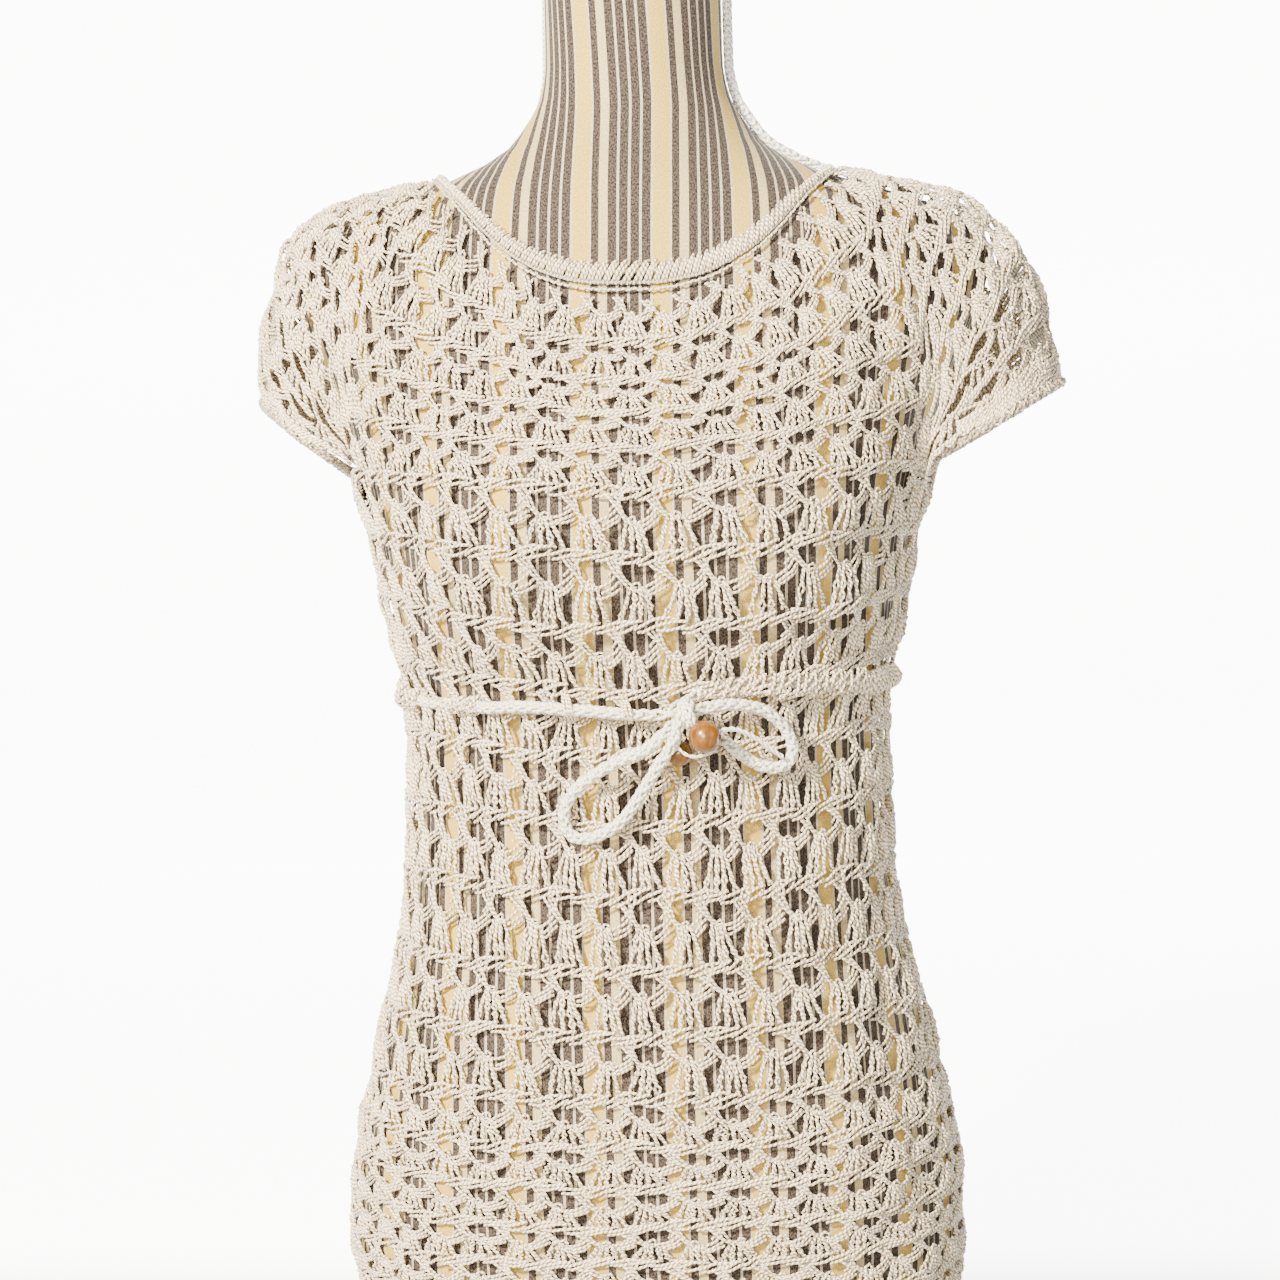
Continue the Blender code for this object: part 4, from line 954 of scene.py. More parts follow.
def makeBody():
    sheet = makeBodySheet()
    print("body sheet", len(sheet.data.vertices))
    pieces = []
    wide, tall = 1 / (2 * halfShells), 1 / bodyRowCount
    for side in ("front", "back"):
        for half in ("upper", "lower"):
            upper = half == "upper"
            rows = range(0, bodySet["upperRows"]) if upper else range(bodySet["upperRows"], bodyRowCount + 1)
            cells = []
            for row in rows:
                style = "ridge" if row == bodyRowCount else "low" if row >= bodySet["lowFrom"] else "open"
                for k in range(2 * halfShells):
                    column = k - halfShells + bodySet["phase"]
                    middle = (column + 0.5 + halfShells) % (2 * halfShells) - halfShells
                    inFront = abs(middle) < halfShells / 2
                    if inFront == (side == "front"):
                        cells.append(cellAt((column + halfShells) * wide, row * tall, wide, tall, style))
                        if row == 0 and bodySet["frontShells"] < abs(middle) < halfShells - bodySet["backShells"]:
                            cells.append(cellAt((column + halfShells) * wide, 0, wide, tall, "close"))
            name = f"crochet_body_{side}_{half}"
            if upper:
                cells += [overTie(kind, turn, wide, tall) for kind, turns in netOver.items() for turn in turns
                          if (90 < turn < 270) == (side == "back")]
            length = bodyTable[rows[0]][0] - bodyTable[min(rows[-1] + 1, bodyRowCount)][0]
            pieces.append((stitch(name, cells, sheet), f"body_{side}", clothCut(sheet, cells, length)))
    bpy.data.objects.remove(sheet)
    return pieces


bodyPieces = makeBody()
for piece, node, cut in bodyPieces:
    finishPiece(piece, "crochet", node)


# the yoke: places from -3 to 3 right round, rows 0 to 5, and 5 to 8 over the sleeves
yokeSet = dict(front=8, phase=-0.3, pitch=0.0185, sleevePitch=0.0225, sleeveRows=3, deep=0.118, sleeveDeep=0.062,
               radius=0.00070, sleeveFirst={"right": 1.04, "left": -1.96}, sleeveSpan=0.92, shortRoom=0.55,
               denseFrom=1.5, closeFrom=1.30, ridgeCells=12, edgeCells=26,
               border={"right": (0.02, 0.19, 0.37, 0.55), "left": (0.02, 0.22)})
yokeRowCount = len(yokeRows) - 1
planRows, planRound = yokeRowCount + yokeSet["sleeveRows"], 6     # the flat plan's height and width


def yokeSurface(s, row):
    s = s - 6 if s > 3 else s + 6 if s < -3 else s
    yoke, place = yokes["right" if s >= 0 else "left"], abs(s)
    end = yoke.yokeEnd(place)
    if row <= yokeRowCount or not 1 < place < 2:
        down = float(np.interp(row, range(yokeRowCount + 1), yokeRows)) * end
        past = min(row, 0) * 0.2 * end + max(row - yokeRowCount, 0) * 0.2
    else:
        down = end + (1 - end) * min(row - yokeRowCount, yokeSet["sleeveRows"]) / yokeSet["sleeveRows"]
        past = max(row - yokeRowCount - yokeSet["sleeveRows"], 0) * (1 - end) / yokeSet["sleeveRows"]
    point, out = yoke.at(place, down)
    if past:
        edge, _ = yoke.at(place, down + 0.03 * (1 if past < 0 else -1))
        point = point + (point - edge) * abs(past) / 0.03
    return point, out


def arcCount(row, pitch, start=1, end=2):
    points = [yokeSurface(s, row)[0] for s in np.linspace(start, end, 13)]
    length = sum(np.linalg.norm(q - p) for p, q in zip(points, points[1:]))
    return max(round(length / pitch), 1)


def yokePlace(column, count):
    front, way = yokeSet["front"], math.copysign(1, column)
    return way * float(np.interp(abs(column), [0, front, front + count, 2 * front + count], [0, 1, 2, 3]))


def sleeveCells(side):
    # two rows of shells, and one near the underarm where the sleeve is short; then close ridges with small
    # loops on the last one, and what fills the far side behind its shells
    s = yokeSet
    first, span, short = s["sleeveFirst"][side], s["sleeveSpan"], s["shortRoom"]
    shells, ridges = [], []

    def cell(k, count, row, tall, style):
        return cellAt((first + span * k / count + 3) / planRound, row / planRows, span / count / planRound,
                      tall / planRows, style)

    def room(k, count):
        return math.sin(math.pi * (abs(first + span * (k + 0.5) / count) - 1))**0.7

    count = arcCount(planRows - 1.5, s["sleevePitch"], first, first + span)
    for k in range(count):
        parts = 1 if room(k, count) < short else 2
        far = abs(first + span * (k + 0.5) / count)
        for part in range(parts):
            tall = s["sleeveRows"] / parts
            row = yokeRowCount + part * tall
            shells.append(cell(k, count, row, tall, "dense" if far > s["denseFrom"] else "open"))
            if far > s["closeFrom"]:
                ridges.append(cell(k, count, row, tall, "close"))
    count = s["ridgeCells"]
    for gone in s["border"][side]:
        ridges += [cell(k, count, planRows - gone, 1, "ridge") for k in range(count)
                   if gone < 0.1 or room(k, count) > short]
    ridges += [cell(k, s["edgeCells"], planRows, 1, "edge") for k in range(s["edgeCells"])]
    return shells, ridges


def makeYoke():
    sheetRows = np.arange(-0.5, planRows + 0.51, 0.25)
    sheet = makeSheet("sheet_yoke", (np.arange(-3.25, 3.26, 1 / 24) + 3) / planRound, sheetRows / planRows,
                      lambda u, v: yokeSurface(u * planRound - 3, v * planRows))
    groups = {"yoke_front": [], "yoke_back": []}
    for row in range(yokeRowCount):
        count = arcCount(row + 0.5, yokeSet["pitch"])
        half = 2 * yokeSet["front"] + count
        for k in range(-half, half):
            column = k + yokeSet["phase"]
            start, end = yokePlace(column, count), yokePlace(column + 1, count)
            if column < -half:
                start = -3 + (column + half) / yokeSet["front"]
            groups["yoke_front" if abs(start + end) / 2 < 1.5 else "yoke_back"].append(
                cellAt((start + 3) / planRound, row / planRows, (end - start) / planRound, 1 / planRows,
                       "dense" if row else "first"))
    for side in ("right", "left"):
        groups["sleeve_" + side], groups["ridges_" + side] = sleeveCells(side)
    made = {}
    for name, cells in groups.items():
        cut = clothCut(sheet, cells, yokeSet["deep" if "yoke" in name else "sleeveDeep"])
        made[name] = (stitch("crochet_" + name, cells, sheet, radius=yokeSet["radius"]), cut)
    bpy.data.objects.remove(sheet)
    return made


yokePieces = makeYoke()
for name, (piece, cut) in yokePieces.items():
    finishPiece(piece, "crochet", name.replace("ridges", "sleeve"))


# what follows a route: the neck band, the cuffs, the drawstring and the braid on the form

def smoothRoute(stops, count, closed=False):
    stops = [np.asarray(stop, float) for stop in stops]
    last, dense = len(stops), []
    for i in range(last if closed else last - 1):
        if closed:
            before, start, end, after = (stops[(i + k) % last] for k in (-1, 0, 1, 2))
        else:
            before, start = stops[max(i - 1, 0)], stops[i]
            end, after = stops[i + 1], stops[min(i + 2, last - 1)]
        for t in np.linspace(0, 1, 12, endpoint=False):
            dense.append(0.5 * (2 * start + (end - before) * t + (2 * before - 5 * start + 4 * end - after) * t**2
                                + (3 * start - before - 3 * end + after) * t**3))
    dense.append(stops[0] if closed else stops[-1])
    length, at = byLength(dense)
    return [at(length * k / count) for k in range(count)] if closed else \
        [at(length * k / (count - 1)) for k in range(count)]


def makeTube(name, route, radius, closed, overlap, sides=12):
    # the sheet round a cord: along it and once round it, carried without a twist from ring to ring
    count = len(route)
    points = np.array(route)
    if closed:
        tangents = [unit(points[(i + 1) % count] - points[i - 1]) for i in range(count)]
    else:
        tangents = [unit(points[min(i + 1, count - 1)] - points[max(i - 1, 0)]) for i in range(count)]
    side = unit(np.cross(tangents[0], [0.31, 0.42, 0.85]))
    frames = []
    for tangent in tangents:
        side = unit(side - tangent * side.dot(tangent))
        frames.append((side, np.cross(tangent, side)))
    slip = 0.0
    if closed:
        again = unit(frames[-1][0] - tangents[0] * frames[-1][0].dot(tangents[0]))
        slip = math.atan2(again.dot(frames[0][1]), again.dot(frames[0][0]))
    extra = math.ceil(overlap * count) + 1

    def surface(u, v):
        place = u * (count if closed else count - 1)
        i = int(round(place))
        j = i % count if closed else min(max(i, 0), count - 1)
        turn = 2 * math.pi * v - (slip * place / count if closed else 0)
        out = frames[j][0] * math.cos(turn) + frames[j][1] * math.sin(turn)
        point = points[j] + out * radius
        if not closed and i != j:
            point = point + tangents[j] * (i - j) * np.linalg.norm(points[1] - points[0])
        return point, out

    us = np.arange(-extra, (count if closed else count - 1) + extra + 1) / (count if closed else count - 1)
    return makeSheet(name, us, np.arange(0, sides + 1) / sides, surface)


def braidedCord(name, route, radius, seed, material, closed=False, strand=0.00112, pitch=0.0065, uneven=0.0003):
    length = sum(np.linalg.norm(q - p) for p, q in zip(route, route[1:] + (route[:1] if closed else [])))
    count = round(length / pitch)
    sheet = makeTube("sheet_" + name, route, radius - strand, closed, 4 / count)
    cells = [cellAt(k / count, 0, 1 / count, 1, "braid") for k in (range(count) if closed else range(-2, count - 2))]
    piece = stitch(name, cells, sheet, seed, material, strand, uneven, 0)
    bpy.data.objects.remove(sheet)
    # an open braid runs on past its ends, thinner, into the knot
    before, after = (0, 0) if closed else (1.3 * length / count, 0.4 * length / count)
    path = [route[0] + unit(route[0] - route[1]) * before] + route + [route[-1] + unit(route[-1] - route[-2]) * after]
    return piece, length + before + after, path


# the neck band: a rope of leaning stitches
bandSet = dict(stitches=188, columns=200, radius=0.00092)


def makeNeckBand(s):
    step = 2 * math.pi / s["columns"]

    def surface(u, v):
        turn = 2 * math.pi * u
        point = neckPoint(turn, v * neckSet["band"])
        after, before = (neckPoint(turn + way * step, neckSet["band"] / 2) for way in (1, -1))
        top, foot = neckPoint(turn, 0), neckPoint(turn, neckSet["band"])
        return point, unit(np.cross(foot - top, after - before))

    sheet = makeSheet("sheet_band", np.arange(-4, s["columns"] + 5) / s["columns"], np.arange(-1, 6) / 4, surface)
    cells = [cellAt(k / s["stitches"], 0, 1 / s["stitches"], 1, "rope") for k in range(s["stitches"])]
    piece = stitch("crochet_neck_band", cells, sheet, radius=s["radius"], uneven=0.0016, wander=0.0010)
    bpy.data.objects.remove(sheet)
    return piece


neckBand = finishPiece(makeNeckBand(bandSet), "crochet", "neck_band")

# the cuffs: a braided edge round each armhole
cuffSet = dict(cord=0.0027, free=0.0008, stops=72, under=(101, 95.5, 90, 84.5, 79), underOut=0.0006)


def cuffRoute(yoke, s):
    away, near = s["cord"] + s["free"], s["cord"] + 2.3 * seamGap
    stops = []
    middle = (yoke.inner(1.5, 1.0) + yoke.frontJoin / 2 + yoke.backJoin / 2) / 2
    for t in np.linspace(0.10, 0.90, 21):
        edge = yoke.inner(1 + t, 1.0) + yoke.normal(1 + t, 1.0) * wall / 2
        fall = unit(yoke.inner(1 + t, 1.0) - yoke.inner(1 + t, 0.96))
        weight = math.sin(math.pi * t)**0.5
        out = unit(unit(middle - edge) * (1 - weight) + fall * weight)
        stops.append(edge + out * away * (1.4 - 0.4 * weight))
    for angle in np.radians(s["under"]):
        top = rowHeight(0, angle)
        edge = bodyInner(angle, top) + formNormal(angle, top) * (wall / 2 + s["underOut"])
        stops.append(edge + unit(unit(middle - edge) * 0.3 + np.array([0, 0, 0.7])) * near)
    route = smoothRoute(stops, s["stops"], closed=True)
    return [lifted(p, s["cord"] + seamGap) * np.array([yoke.sleeve["side"], 1, 1]) for p in route]


cuffs = {}
for side, yoke in yokes.items():
    piece, _, _ = braidedCord(f"crochet_cuff_{side}", cuffRoute(yoke, cuffSet), cuffSet["cord"], 30, yarn, closed=True,
                           strand=0.00092, pitch=0.0050, uneven=0.0014)
    cuffs[side] = finishPiece(piece, "crochet", f"cuff_{side}")
print("cuffs ready")

# the drawstring and its bow: sideways place, height and rise above the ridges, as the solids have them
tieSet = dict(radius=0.0031, stops=220, knot=(0.0215, 0.3834, 0.0115))
loopLeft = [(0.0143, 0.3778, 0.0120), (0.0050, 0.3700, 0.0150), (-0.0058, 0.3656, 0.0132),
            (-0.0174, 0.3596, 0.0110), (-0.0272, 0.3530, 0.0088), (-0.0340, 0.3448, 0.0066),
            (-0.0362, 0.3356, 0.0048), (-0.0330, 0.3278, 0.0038), (-0.0250, 0.3262, 0.0038),
            (-0.0152, 0.3296, 0.0048), (-0.0066, 0.3364, 0.0066), (-0.0006, 0.3446, 0.0086),
            (0.0058, 0.3542, 0.0110), (0.0112, 0.3626, 0.0138), (0.0158, 0.3690, 0.0160),
            (0.0184, 0.3718, 0.0150)]
loopRight = [(0.0284, 0.3882, 0.0112), (0.0400, 0.3900, 0.0084), (0.0508, 0.3898, 0.0062),
             (0.0618, 0.3866, 0.0054), (0.0700, 0.3796, 0.0058), (0.0748, 0.3712, 0.0062),
             (0.0744, 0.3626, 0.0058), (0.0682, 0.3584, 0.0050), (0.0596, 0.3596, 0.0044),
             (0.0508, 0.3650, 0.0040), (0.0434, 0.3714, 0.0038), (0.0372, 0.3768, 0.0038)]
tail = [(0.0413, 0.3785, 0.0176), (0.0480, 0.3786, 0.0150), (0.0560, 0.3748, 0.0126),
        (0.0630, 0.3694, 0.0108), (0.0704, 0.3636, 0.0096)]
beads = {"bead_front": ((0.0334, 0.3760, 0.0192), 0.0078), "bead_back": ((0.0206, 0.3672, 0.0067), 0.0062)}


def overCloth(angle, height, rise):
    return bodyInner(angle, height) + formNormal(angle, height) * (wall + rowRidge + rise)


def beforeCloth(x, z, rise):
    # the point over the front cloth that has this x and this z
    angle, height = math.asin(x / meanRadius), z
    for _ in range(12):
        point = overCloth(angle, height, rise)
        angle += (x - point[0]) / meanRadius
        height += z - point[2]
    return overCloth(angle, height, rise)


def makeTie():
    turns = np.radians([stop[0] for stop in tieRun])
    height = smoothCurve(turns, [stop[1] for stop in tieRun])
    # the cord passes over the cloth where it shows and through the windows to run under it elsewhere
    under = smoothCurve(np.radians([stop[0] for stop in tieUnder]), [stop[1] for stop in tieUnder])
    run = []
    for a in np.linspace(turns[0], turns[-1], tieSet["stops"]):
        over = overCloth(a, height(a), seamGap * 2 + tieSet["radius"])
        below = formPoint(a, height(a)) + formNormal(a, height(a)) * (tieSet["radius"] + 2 * seamGap)
        run.append(over * (1 - under(a)) + below * under(a))
    length, at = byLength(run)
    run = [at(length * k / (tieSet["stops"] - 1)) for k in range(tieSet["stops"])]
    made = {"tie_waist": braidedCord("tie_waist_braid", run, tieSet["radius"], 40, tieYarn)}
    for name, stops, count in (("tie_loop_left", loopLeft, 60), ("tie_loop_right", loopRight, 52)):
        route = smoothRoute([beforeCloth(*stop) for stop in stops], count)
        made[name] = braidedCord(name + "_braid", route, tieSet["radius"], 41, tieYarn)
    return made


tiePieces = makeTie()
for node, (piece, length, route) in tiePieces.items():
    finishPiece(piece, "tie", node)


def roundTube(name, route, radius, material, sides):
    # a plain tube with flat ends
    rings, faces = [], []
    count = len(route)
    points = np.array(route)
    side = unit(np.cross(points[1] - points[0], [0.31, 0.42, 0.85]))
    for i in range(count):
        tangent = unit(points[min(i + 1, count - 1)] - points[max(i - 1, 0)])
        side = unit(side - tangent * side.dot(tangent))
        other = np.cross(tangent, side)
        for k in range(sides):
            turn = 2 * math.pi * k / sides
            rings.append(points[i] + (side * math.cos(turn) + other * math.sin(turn)) * radius)
    for i in range(count - 1):
        for k in range(sides):
            a, b = i * sides, (i + 1) * sides
            faces.append((a + k, b + k, b + (k + 1) % sides, a + (k + 1) % sides)[::-1])
    faces += [tuple(range(sides)), tuple(range((count - 1) * sides, count * sides))[::-1]]
    return addMesh(name, rings, faces, material)


def joinPieces(pieces, name):
    with bpy.context.temp_override(active_object=pieces[0], selected_editable_objects=pieces):
        bpy.ops.object.join()
    pieces[0].name = name
    return pieces[0]


def makeKnot():
    # two wraps of the cord over the middle of the bow: one the knot's height, one over its right shoulder
    centre = beforeCloth(*tieSet["knot"])
    wraps = []
    for number, (aside, above, lean, tall, deep) in enumerate(((-0.0008, -0.0022, 0.32, 0.0104, 0.0046),
                                                               (0.0046, 0.0034, -0.15, 0.0058, 0.0048))):
        route = []
        for a in np.linspace(0, 2 * math.pi, 40, endpoint=False):
            up = tall * math.cos(a)
            route.append(centre + np.array([aside + up * lean, -deep * math.sin(a), above + up]))
        wraps.append(braidedCord(f"wrap_{number}", route, tieSet["radius"], 50 + number, tieYarn, closed=True)[0])
    return joinPieces(wraps, "tie_knot_wraps")


def twistedYarn(name, route, radius, turn=0.008):
    # two thin plies wound about each other
    plies, length = [], 0.0
    for k in range(2):
        path, length = [], 0.0
        for i, point in enumerate(route):
            length += np.linalg.norm(point - route[i - 1]) if i else 0
            a = 2 * math.pi * length / turn + math.pi * k
            path.append(point + np.array([0, math.cos(a), math.sin(a)]) * radius * 0.5)
        plies.append(roundTube(f"{name}_{k}", path, radius * 0.56, tieYarn, 6))
    return joinPieces(plies, name)


knot = finishPiece(makeKnot(), "tie", "tie_knot")
tailRoute = smoothRoute([beforeCloth(*stop) for stop in tail], 60)
tailThread = finishPiece(twistedYarn("tie_tail_yarn", tailRoute, 0.0013), "tie", "tie_tail")
beadThread = [(0.0196, 0.3716, 0.0150), (0.0232, 0.3678, 0.0166), (0.0278, 0.3660, 0.0164), (0.0330, 0.3668, 0.0150),
              (0.0378, 0.3690, 0.0140), (0.0400, 0.3730, 0.0150)]
threadRoute = smoothRoute([beforeCloth(*stop) for stop in beadThread], 50)
threadYarn = finishPiece(twistedYarn("tie_bead_thread", threadRoute, 0.0009), "tie")


# turned beech beads: a warm brown with thin grain, under a polished clear coat
def makeWood():
    material, tree, bsdf = newMaterial("polished beech wood", "#6B4109", 0.30, Coat_Weight=0.5,
                                       Coat_Roughness=0.12)
    place = addNode(tree, "ShaderNodeTexCoord")
    stretched = addNode(tree, "ShaderNodeMapping", dict(Scale=(1, 1, 0.25)), Vector=place.outputs["Object"])
    grain = addNode(tree, "ShaderNodeTexNoise", dict(Scale=700, Detail=4, Distortion=0.6), Vector=stretched)
    tone = ramp(tree, grain.outputs["Fac"], [(0.30, "#573204"), (0.5, "#6E4408"), (0.72, "#82540F")])
    tree.links.new(tone.outputs[0], bsdf.inputs["Base Color"])
    return material


wood = makeWood()


def makeBead(name, centre, radius, hole=0.16):
    # a turned ball with its hole along the thread
    work = bmesh.new()
    rings, sides = 18, 32
    start = math.asin(hole)
    profile = []
    for k in range(rings + 1):
        down = start + (math.pi - 2 * start) * k / rings
        profile.append((radius * math.sin(down), radius * math.cos(down)))
    profile.append((radius * hole, 0.0))
    grid = [[work.verts.new((r * math.cos(2 * math.pi * i / sides), z, r * math.sin(2 * math.pi * i / sides)))
             for i in range(sides)] for r, z in profile]
    for a, b in zip(grid, grid[1:] + grid[:1]):
        for i in range(sides):
            work.faces.new((a[i], a[(i + 1) % sides], b[(i + 1) % sides], b[i]))
    bmesh.ops.rotate(work, verts=work.verts, cent=(0, 0, 0), matrix=Matrix.Rotation(math.radians(72), 3, "Z"))
    bmesh.ops.translate(work, verts=work.verts, vec=Vector(centre))
    bmesh.ops.recalc_face_normals(work, faces=work.faces)
    mesh = bpy.data.meshes.new(name)
    work.to_mesh(mesh)
    work.free()
    mesh.shade_smooth()
    mesh.materials.append(wood)
    return addObject(name, mesh)


turned = [finishPiece(makeBead(node + "_turned", beforeCloth(*place), radius), "bead", node)
          for node, (place, radius) in beads.items()]
print("tie ready")

# the form: ticking with the stripes by length round it, a cap of the same, braid and a board
formSet = dict(columns=96, step=0.008, lean=0.05, leanFrom=0.69, seamAngle=94, boardThick=0.010, boardInset=0.003,
               boardRound=0.0015, capInset=0.0004, capThick=0.008, capRound=0.0030)
stripes = dict(repeat=0.040, bars=4, bar=0.0043, gap=0.0013, lone=(0.0211, 0.0249), creamBand=(0.0117, 0.0201),
               wander=0.0014, speck=0.0008,
               weft=dict(taupe="#241E1A", white="#A99C84", cream="#B2974A", pale="#AE9C70"),
               warp=dict(taupe="#564C43", white="#CABEA7", cream="#CBB05C", pale="#C9B88C"))


def makeTicking(s):
    # taupe, cream and pale stripes; the weave shows as specks of the darker weft between the warp's threads,
    # drawn 0.8 mm apart, coarser than real threads, which would be too fine to show
    material, tree, bsdf = newMaterial("cotton ticking", s["warp"]["pale"], 0.88, Sheen_Weight=0.08,
                                       Specular_IOR_Level=0.2)
    uv = addNode(tree, "ShaderNodeUVMap", dict(uv_map="ticking"))
    apart = addNode(tree, "ShaderNodeSeparateXYZ", None, Vector=uv)
    half = s["bars"] * s["bar"] / 2 + (s["bars"] - 1) * s["gap"] / 2
    slow = addNode(tree, "ShaderNodeTexNoise", dict(Scale=16, Detail=1), Vector=uv)
    wander = addNode(tree, "ShaderNodeMapRange", {"To Min": half - s["wander"] / 2, "To Max": half + s["wander"] / 2},
                     Value=slow.outputs["Fac"])
    shifted = addNode(tree, "ShaderNodeMath", dict(operation="ADD"), _0=apart.outputs["X"], _1=wander)
    wrapped = addNode(tree, "ShaderNodeMath", dict(operation="WRAP"), _0=shifted, _1=s["repeat"], _2=0.0)
    share = addNode(tree, "ShaderNodeMath", dict(operation="DIVIDE"), _0=wrapped, _1=s["repeat"])
    edges = []
    for k in range(s["bars"]):
        start = k * (s["bar"] + s["gap"])
        edges += [(start, "taupe"), (start + s["bar"], "white")]
    edges += [(s["creamBand"][0] + half, "cream"), (s["creamBand"][1] + half, "white"),
              (s["lone"][0] + half, "taupe"), (s["lone"][1] + half, "pale")]
    tones = [ramp(tree, share, [(place / s["repeat"], s[thread][name]) for place, name in edges], "CONSTANT")
             for thread in ("weft", "warp")]
    grain = addNode(tree, "ShaderNodeTexNoise", dict(Scale=1 / s["speck"], Detail=1),
                    Vector=addNode(tree, "ShaderNodeMapping", dict(Scale=(1.0, 0.7, 1)), Vector=uv))
    weave = addNode(tree, "ShaderNodeMapRange", {"From Min": 0.38, "From Max": 0.62}, Value=grain.outputs["Fac"])
    worn = addNode(tree, "ShaderNodeMix", dict(data_type="RGBA"), _0=weave, _6=tones[0], _7=tones[1])
    tree.links.new(worn.outputs[2], bsdf.inputs["Base Color"])
    bump = addNode(tree, "ShaderNodeBump", dict(Strength=0.4, Distance=0.0003), Height=weave)
    tree.links.new(bump.outputs[0], bsdf.inputs["Normal"])
    return material


ticking = makeTicking(stripes)


def makeForm(s):
    top, low = formTop, s["boardThick"] + seamGap
    heights = np.linspace(low, top, round((top - low) / s["step"]) + 1)
    angles = [2 * math.pi * (i - s["columns"] // 2) / s["columns"] for i in range(s["columns"])]
    grid = np.array([[formPoint(a, z) for a in angles] for z in heights])
    rings, columns = grid.shape[:2]
    ends = [np.array([0, 0, heights[0]]), np.array([0, 0, heights[-1]])]
    points = list(grid.reshape(-1, 3)) + ends
    faces, flats = [], []
    seam = round(s["seamAngle"] / 360 * columns)
    middle = columns // 2
    steps = np.linalg.norm(np.roll(grid, -1, axis=1) - grid, axis=2)
    for j in range(rings - 1):
        for i in range(columns):
            k = (i + 1) % columns
            faces.append((j * columns + i, j * columns + k, (j + 1) * columns + k, (j + 1) * columns + i))
            flat = []
            for row, column in ((j, i), (j, i + 1), (j + 1, i + 1), (j + 1, i)):
                if middle - seam <= i < middle + seam:
                    run = steps[row][middle:column].sum() if column >= middle else -steps[row][column:middle].sum()
                elif i >= middle + seam:
                    run = -steps[row][column:].sum()
                else:
                    run = steps[row][:column].sum()
                flat.append((run + s["lean"] * max(heights[row] - s["leanFrom"], 0), heights[row]))
            flats += flat
    for j, end in ((0, len(points) - 2), (rings - 1, len(points) - 1)):
        for i in range(columns):
            k = (i + 1) % columns
            a, b = j * columns + i, j * columns + k
            faces.append((end, b, a) if j == 0 else (end, a, b))
            flats += [tuple(points[v][:2]) for v in faces[-1]]
    made = addMesh("form_torso_ticking", points, faces, ticking)
    layer = made.data.uv_layers.new(name="ticking")
    layer.data.foreach_set("uv", np.array(flats, float).ravel())
    return made


def formDisc(name, height, rows, material):
    # a disc in the form's own outline: rows of inset and height from the underside to the top
    count = formSet["columns"]
    points, faces = [], []
    for inset, z in rows:
        for i in range(count):
            a = 2 * math.pi * i / count
            radius = formRadius(a, height) - inset
            points.append((radius * math.sin(a), -radius * math.cos(a), z))
    for j in range(len(rows) - 1):
        for i in range(count):
            k = (i + 1) % count
            faces.append((j * count + i, j * count + k, (j + 1) * count + k, (j + 1) * count + i))
    faces += [tuple(range(count))[::-1], tuple(range((len(rows) - 1) * count, len(rows) * count))]
    made = addMesh(name, points, faces, material)
    layer = made.data.uv_layers.new(name="ticking")
    for loop in made.data.loops:
        layer.data[loop.index].uv = made.data.vertices[loop.vertex_index].co.xy
    return made


def edgeRows(inset, low, high, radius, steps=4):
    rows = [(inset + radius * (1 - math.sin(a)), low + radius * (1 - math.cos(a)))
            for a in np.linspace(0, math.pi / 2, steps)]
    return rows + [(inset + radius * (1 - math.cos(a)), high - radius * (1 - math.sin(a)))
                   for a in np.linspace(0, math.pi / 2, steps)]


def makeBoardWood():
    # plain birch: long soft grain in pale brown, no coat
    material, tree, bsdf = newMaterial("plain birch board", "#C9A878", 0.55)
    place = addNode(tree, "ShaderNodeTexCoord")
    stretched = addNode(tree, "ShaderNodeMapping", dict(Scale=(1, 9, 4)), Vector=place.outputs["Object"])
    grain = addNode(tree, "ShaderNodeTexNoise", dict(Scale=18, Detail=5, Distortion=0.8), Vector=stretched)
    tone = ramp(tree, grain.outputs["Fac"], [(0.35, "#B08D5C"), (0.6, "#D6B888")])
    tree.links.new(tone.outputs[0], bsdf.inputs["Base Color"])
    return material


torso = finishPiece(makeForm(formSet), "ticking", "form_torso")
capLow = formTop + seamGap
capRows = edgeRows(formSet["capInset"], capLow, capLow + formSet["capThick"], formSet["capRound"], 5)
cap = finishPiece(formDisc("form_neck_cap_ticking", formTop, capRows, ticking), "ticking", "form_neck_cap")
boardRows = edgeRows(formSet["boardInset"], 0.0, formSet["boardThick"], formSet["boardRound"])
finishPiece(formDisc("form_board", 0.0, boardRows, makeBoardWood()), "board", "form_base")

# gimp braid over the shoulder seams of the form: smooth rayon, so nearly white and with little bump; its dark is
# painted shade in the grooves between its plies
gimpSet = dict(radius=dict(right=0.0027, left=0.0015), turn=dict(right=92, left=-103),
               top=dict(right=0.7545, left=0.7600), low=0.590, rise=0.0003)
gimpYarn = makeYarn("rayon gimp braid", dict(light="#FFFFFB", mid="#EFEBE2", dark="#6E675E", ply=0.0030,
                                             fuzz=0.0012, bump=0.3), sheen=0.1)


def makeGimp(side, s):
    angle, radius = math.radians(s["turn"][side]), s["radius"][side]
    stops = []
    for height in np.arange(s["top"][side], s["low"], -0.004):
        point = formPoint(angle, height) + formNormal(angle, height) * (radius + s["rise"])
        if abs(point[0]) > neckSet["half"] - 4 * seamGap:
            break
        stops.append(point)
    return braidedCord(f"form_gimp_{side}", smoothRoute(stops, 60), radius, 60, gimpYarn, strand=radius * 0.40,
                       pitch=radius * 2.2)[0]


for side in ("right", "left"):
    finishPiece(makeGimp(side, gimpSet), "trim", f"form_trim_{side}")
print("form ready")


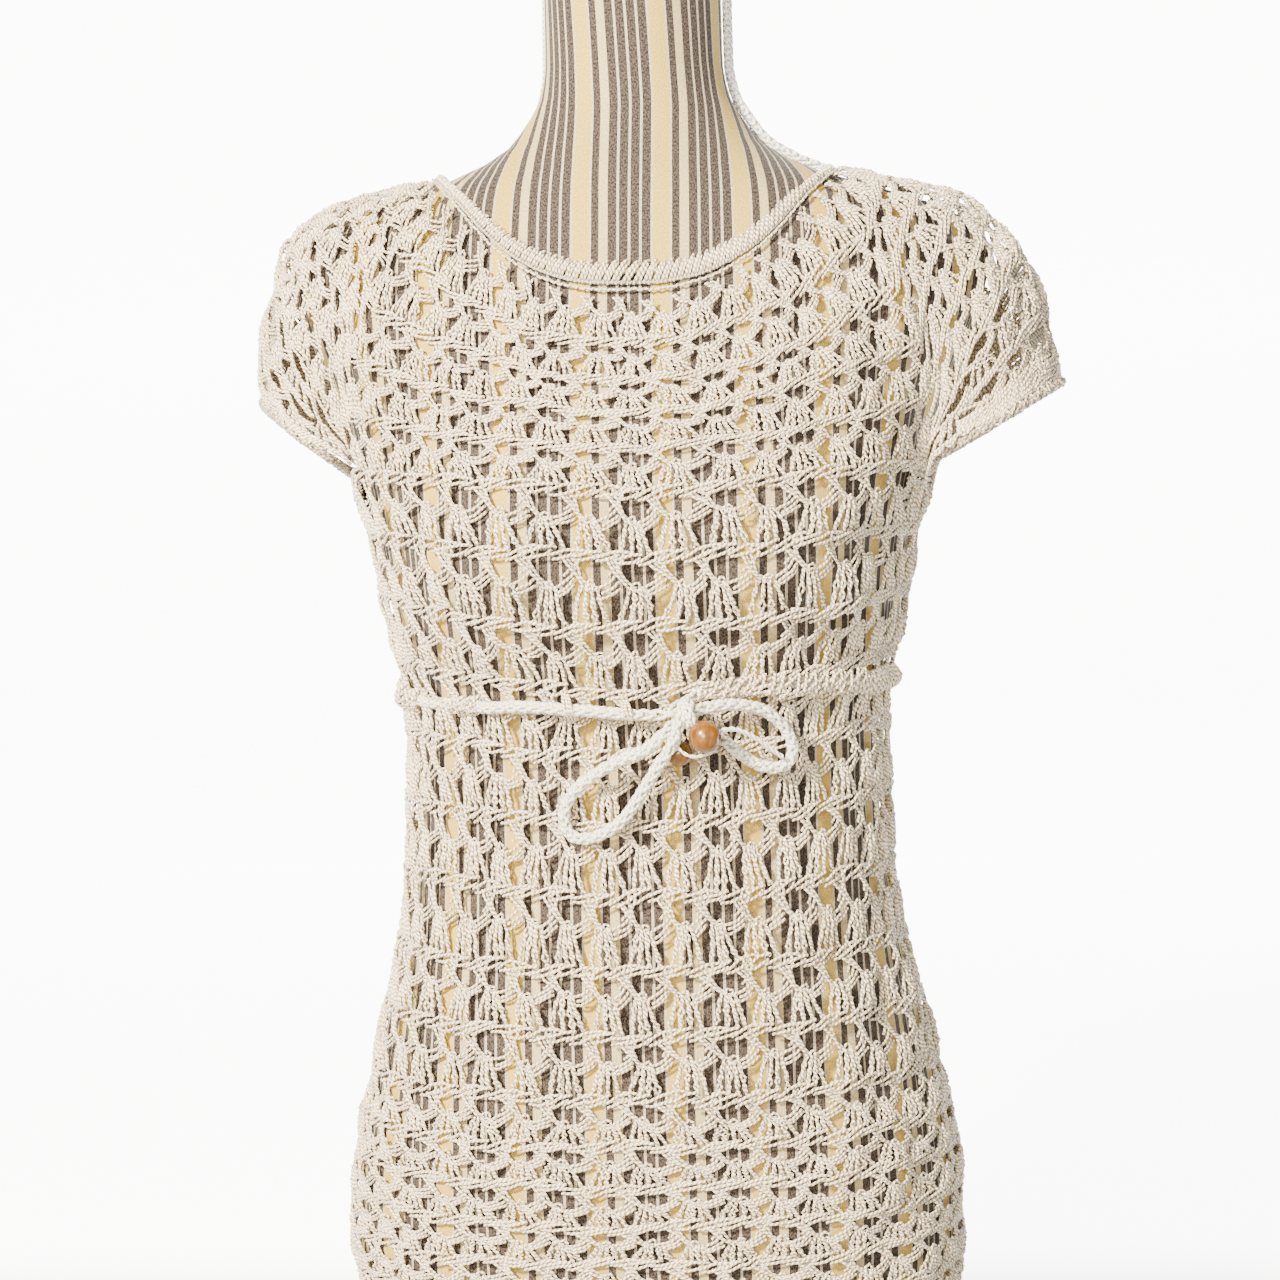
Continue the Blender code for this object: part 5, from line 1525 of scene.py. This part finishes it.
# the soft pieces: cloth by the flat cut that its yarn makes, cords by their own length, the padded form
for piece, node, cut in bodyPieces:
    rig.sheet(piece, flat=cut, held="stretched", rests_on=["form_torso"])
onCloth = {"yoke_front": [neckBand], "sleeve_right": [yokePieces["ridges_right"][0], cuffs["right"]],
           "sleeve_left": [yokePieces["ridges_left"][0], cuffs["left"]]}
for name, (piece, cut) in yokePieces.items():
    if "ridges" not in name:
        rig.sheet(piece, flat=cut, held="draped" if "sleeve" in name else "stretched", rests_on=["form_torso"],
                 with_pieces=onCloth.get(name, []))
for node, (piece, length, path) in tiePieces.items():
    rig.cord(piece, exit=path[0], length=length, diameter=2 * tieSet["radius"], far_end="object", stiffness="limp",
            lay="taut" if node == "tie_waist" else "loose", path=path,
            with_pieces=[knot] if node == "tie_waist" else [])
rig.cord(tailThread, exit=tailRoute[0], length=byLength(tailRoute)[0], diameter=0.0026, far_end="bare",
        stiffness="limp", path=tailRoute, with_pieces=turned + [threadYarn])
for piece in (torso, cap):
    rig.padded(piece, fill=1.0)


# stage and light: a white sweep behind, sunlight from the upper left, little fill
stageSet = dict(paper="#F4F4F2", near="#8F8D8A", wide=3.2, back=3.4, round=0.8, front=2.2, glow=8.0, world=0.20)


def makeStage(s):
    paper, tree, bsdf = newMaterial("white paper sweep", s["paper"], 0.9)
    place = addNode(tree, "ShaderNodeTexCoord")
    apart = addNode(tree, "ShaderNodeSeparateXYZ", None, Vector=place.outputs["Object"])
    far = addNode(tree, "ShaderNodeMapRange", {"From Min": 0.16, "From Max": 0.42, "To Max": s["glow"]},
                  Value=apart.outputs["Y"])
    far.interpolation_type = "SMOOTHSTEP"
    tone = ramp(tree, addNode(tree, "ShaderNodeMapRange", {"From Min": 0.1, "From Max": 0.3},
                              Value=apart.outputs["Y"]).outputs[0], [(0, s["near"]), (1, s["paper"])])
    tree.links.new(tone.outputs[0], bsdf.inputs["Base Color"])
    bsdf.inputs["Emission Color"].default_value = (1, 1, 1, 1)
    tree.links.new(far.outputs[0], bsdf.inputs["Emission Strength"])
    turn = [(s["back"] - s["round"] + s["round"] * math.sin(a), s["round"] * (1 - math.cos(a)))
            for a in np.linspace(0, math.pi / 2, 12)]
    section = [(-s["front"], 0.0), (0.0, 0.0)] + turn + [(s["back"], 3.4)]
    points = [(x, y, z - 0.0001) for x in (-s["wide"], s["wide"]) for y, z in section]
    count = len(section)
    faces = [(i, i + count, i + count + 1, i + 1) for i in range(count - 1)]
    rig.stage(addMesh("floor", points, faces, paper))
    world = bpy.data.worlds.new("World")
    bpy.context.scene.world = world
    world.use_nodes = True
    back = world.node_tree.nodes["Background"]
    back.inputs["Color"].default_value = (0.94, 0.97, 1.0, 1)
    back.inputs["Strength"].default_value = s["world"]


lightSet = dict(key=dict(place=(-1.10, -1.92, 1.50), aim=(0, 0, 0.42), size=0.27, power=318, colour="#FFF4E0"),
                fill=dict(place=(1.5, -1.7, 0.9), aim=(0, 0, 0.4), size=1.6, power=14, colour="#FFFFFF"),
                front=dict(place=(-0.30, -2.20, 0.72), aim=(0, 0, 0.40), size=0.7, power=52, colour="#FFF8EE"))


def addLight(name, s):
    light = bpy.data.lights.new(name, "AREA")
    light.size, light.energy, light.color = s["size"], s["power"], linear(s["colour"])[:3]
    made = addObject(name, light)
    made.location = s["place"]
    made.rotation_euler = (Vector(s["aim"]) - Vector(s["place"])).to_track_quat("-Z", "Y").to_euler()


makeStage(stageSet)
for name, light in lightSet.items():
    addLight(name, light)
print("stage and lights ready")

with open("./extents.json", "w") as f:
    json.dump({"cad": cadBox, "visual": [list(corner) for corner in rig.bounds()]}, f)
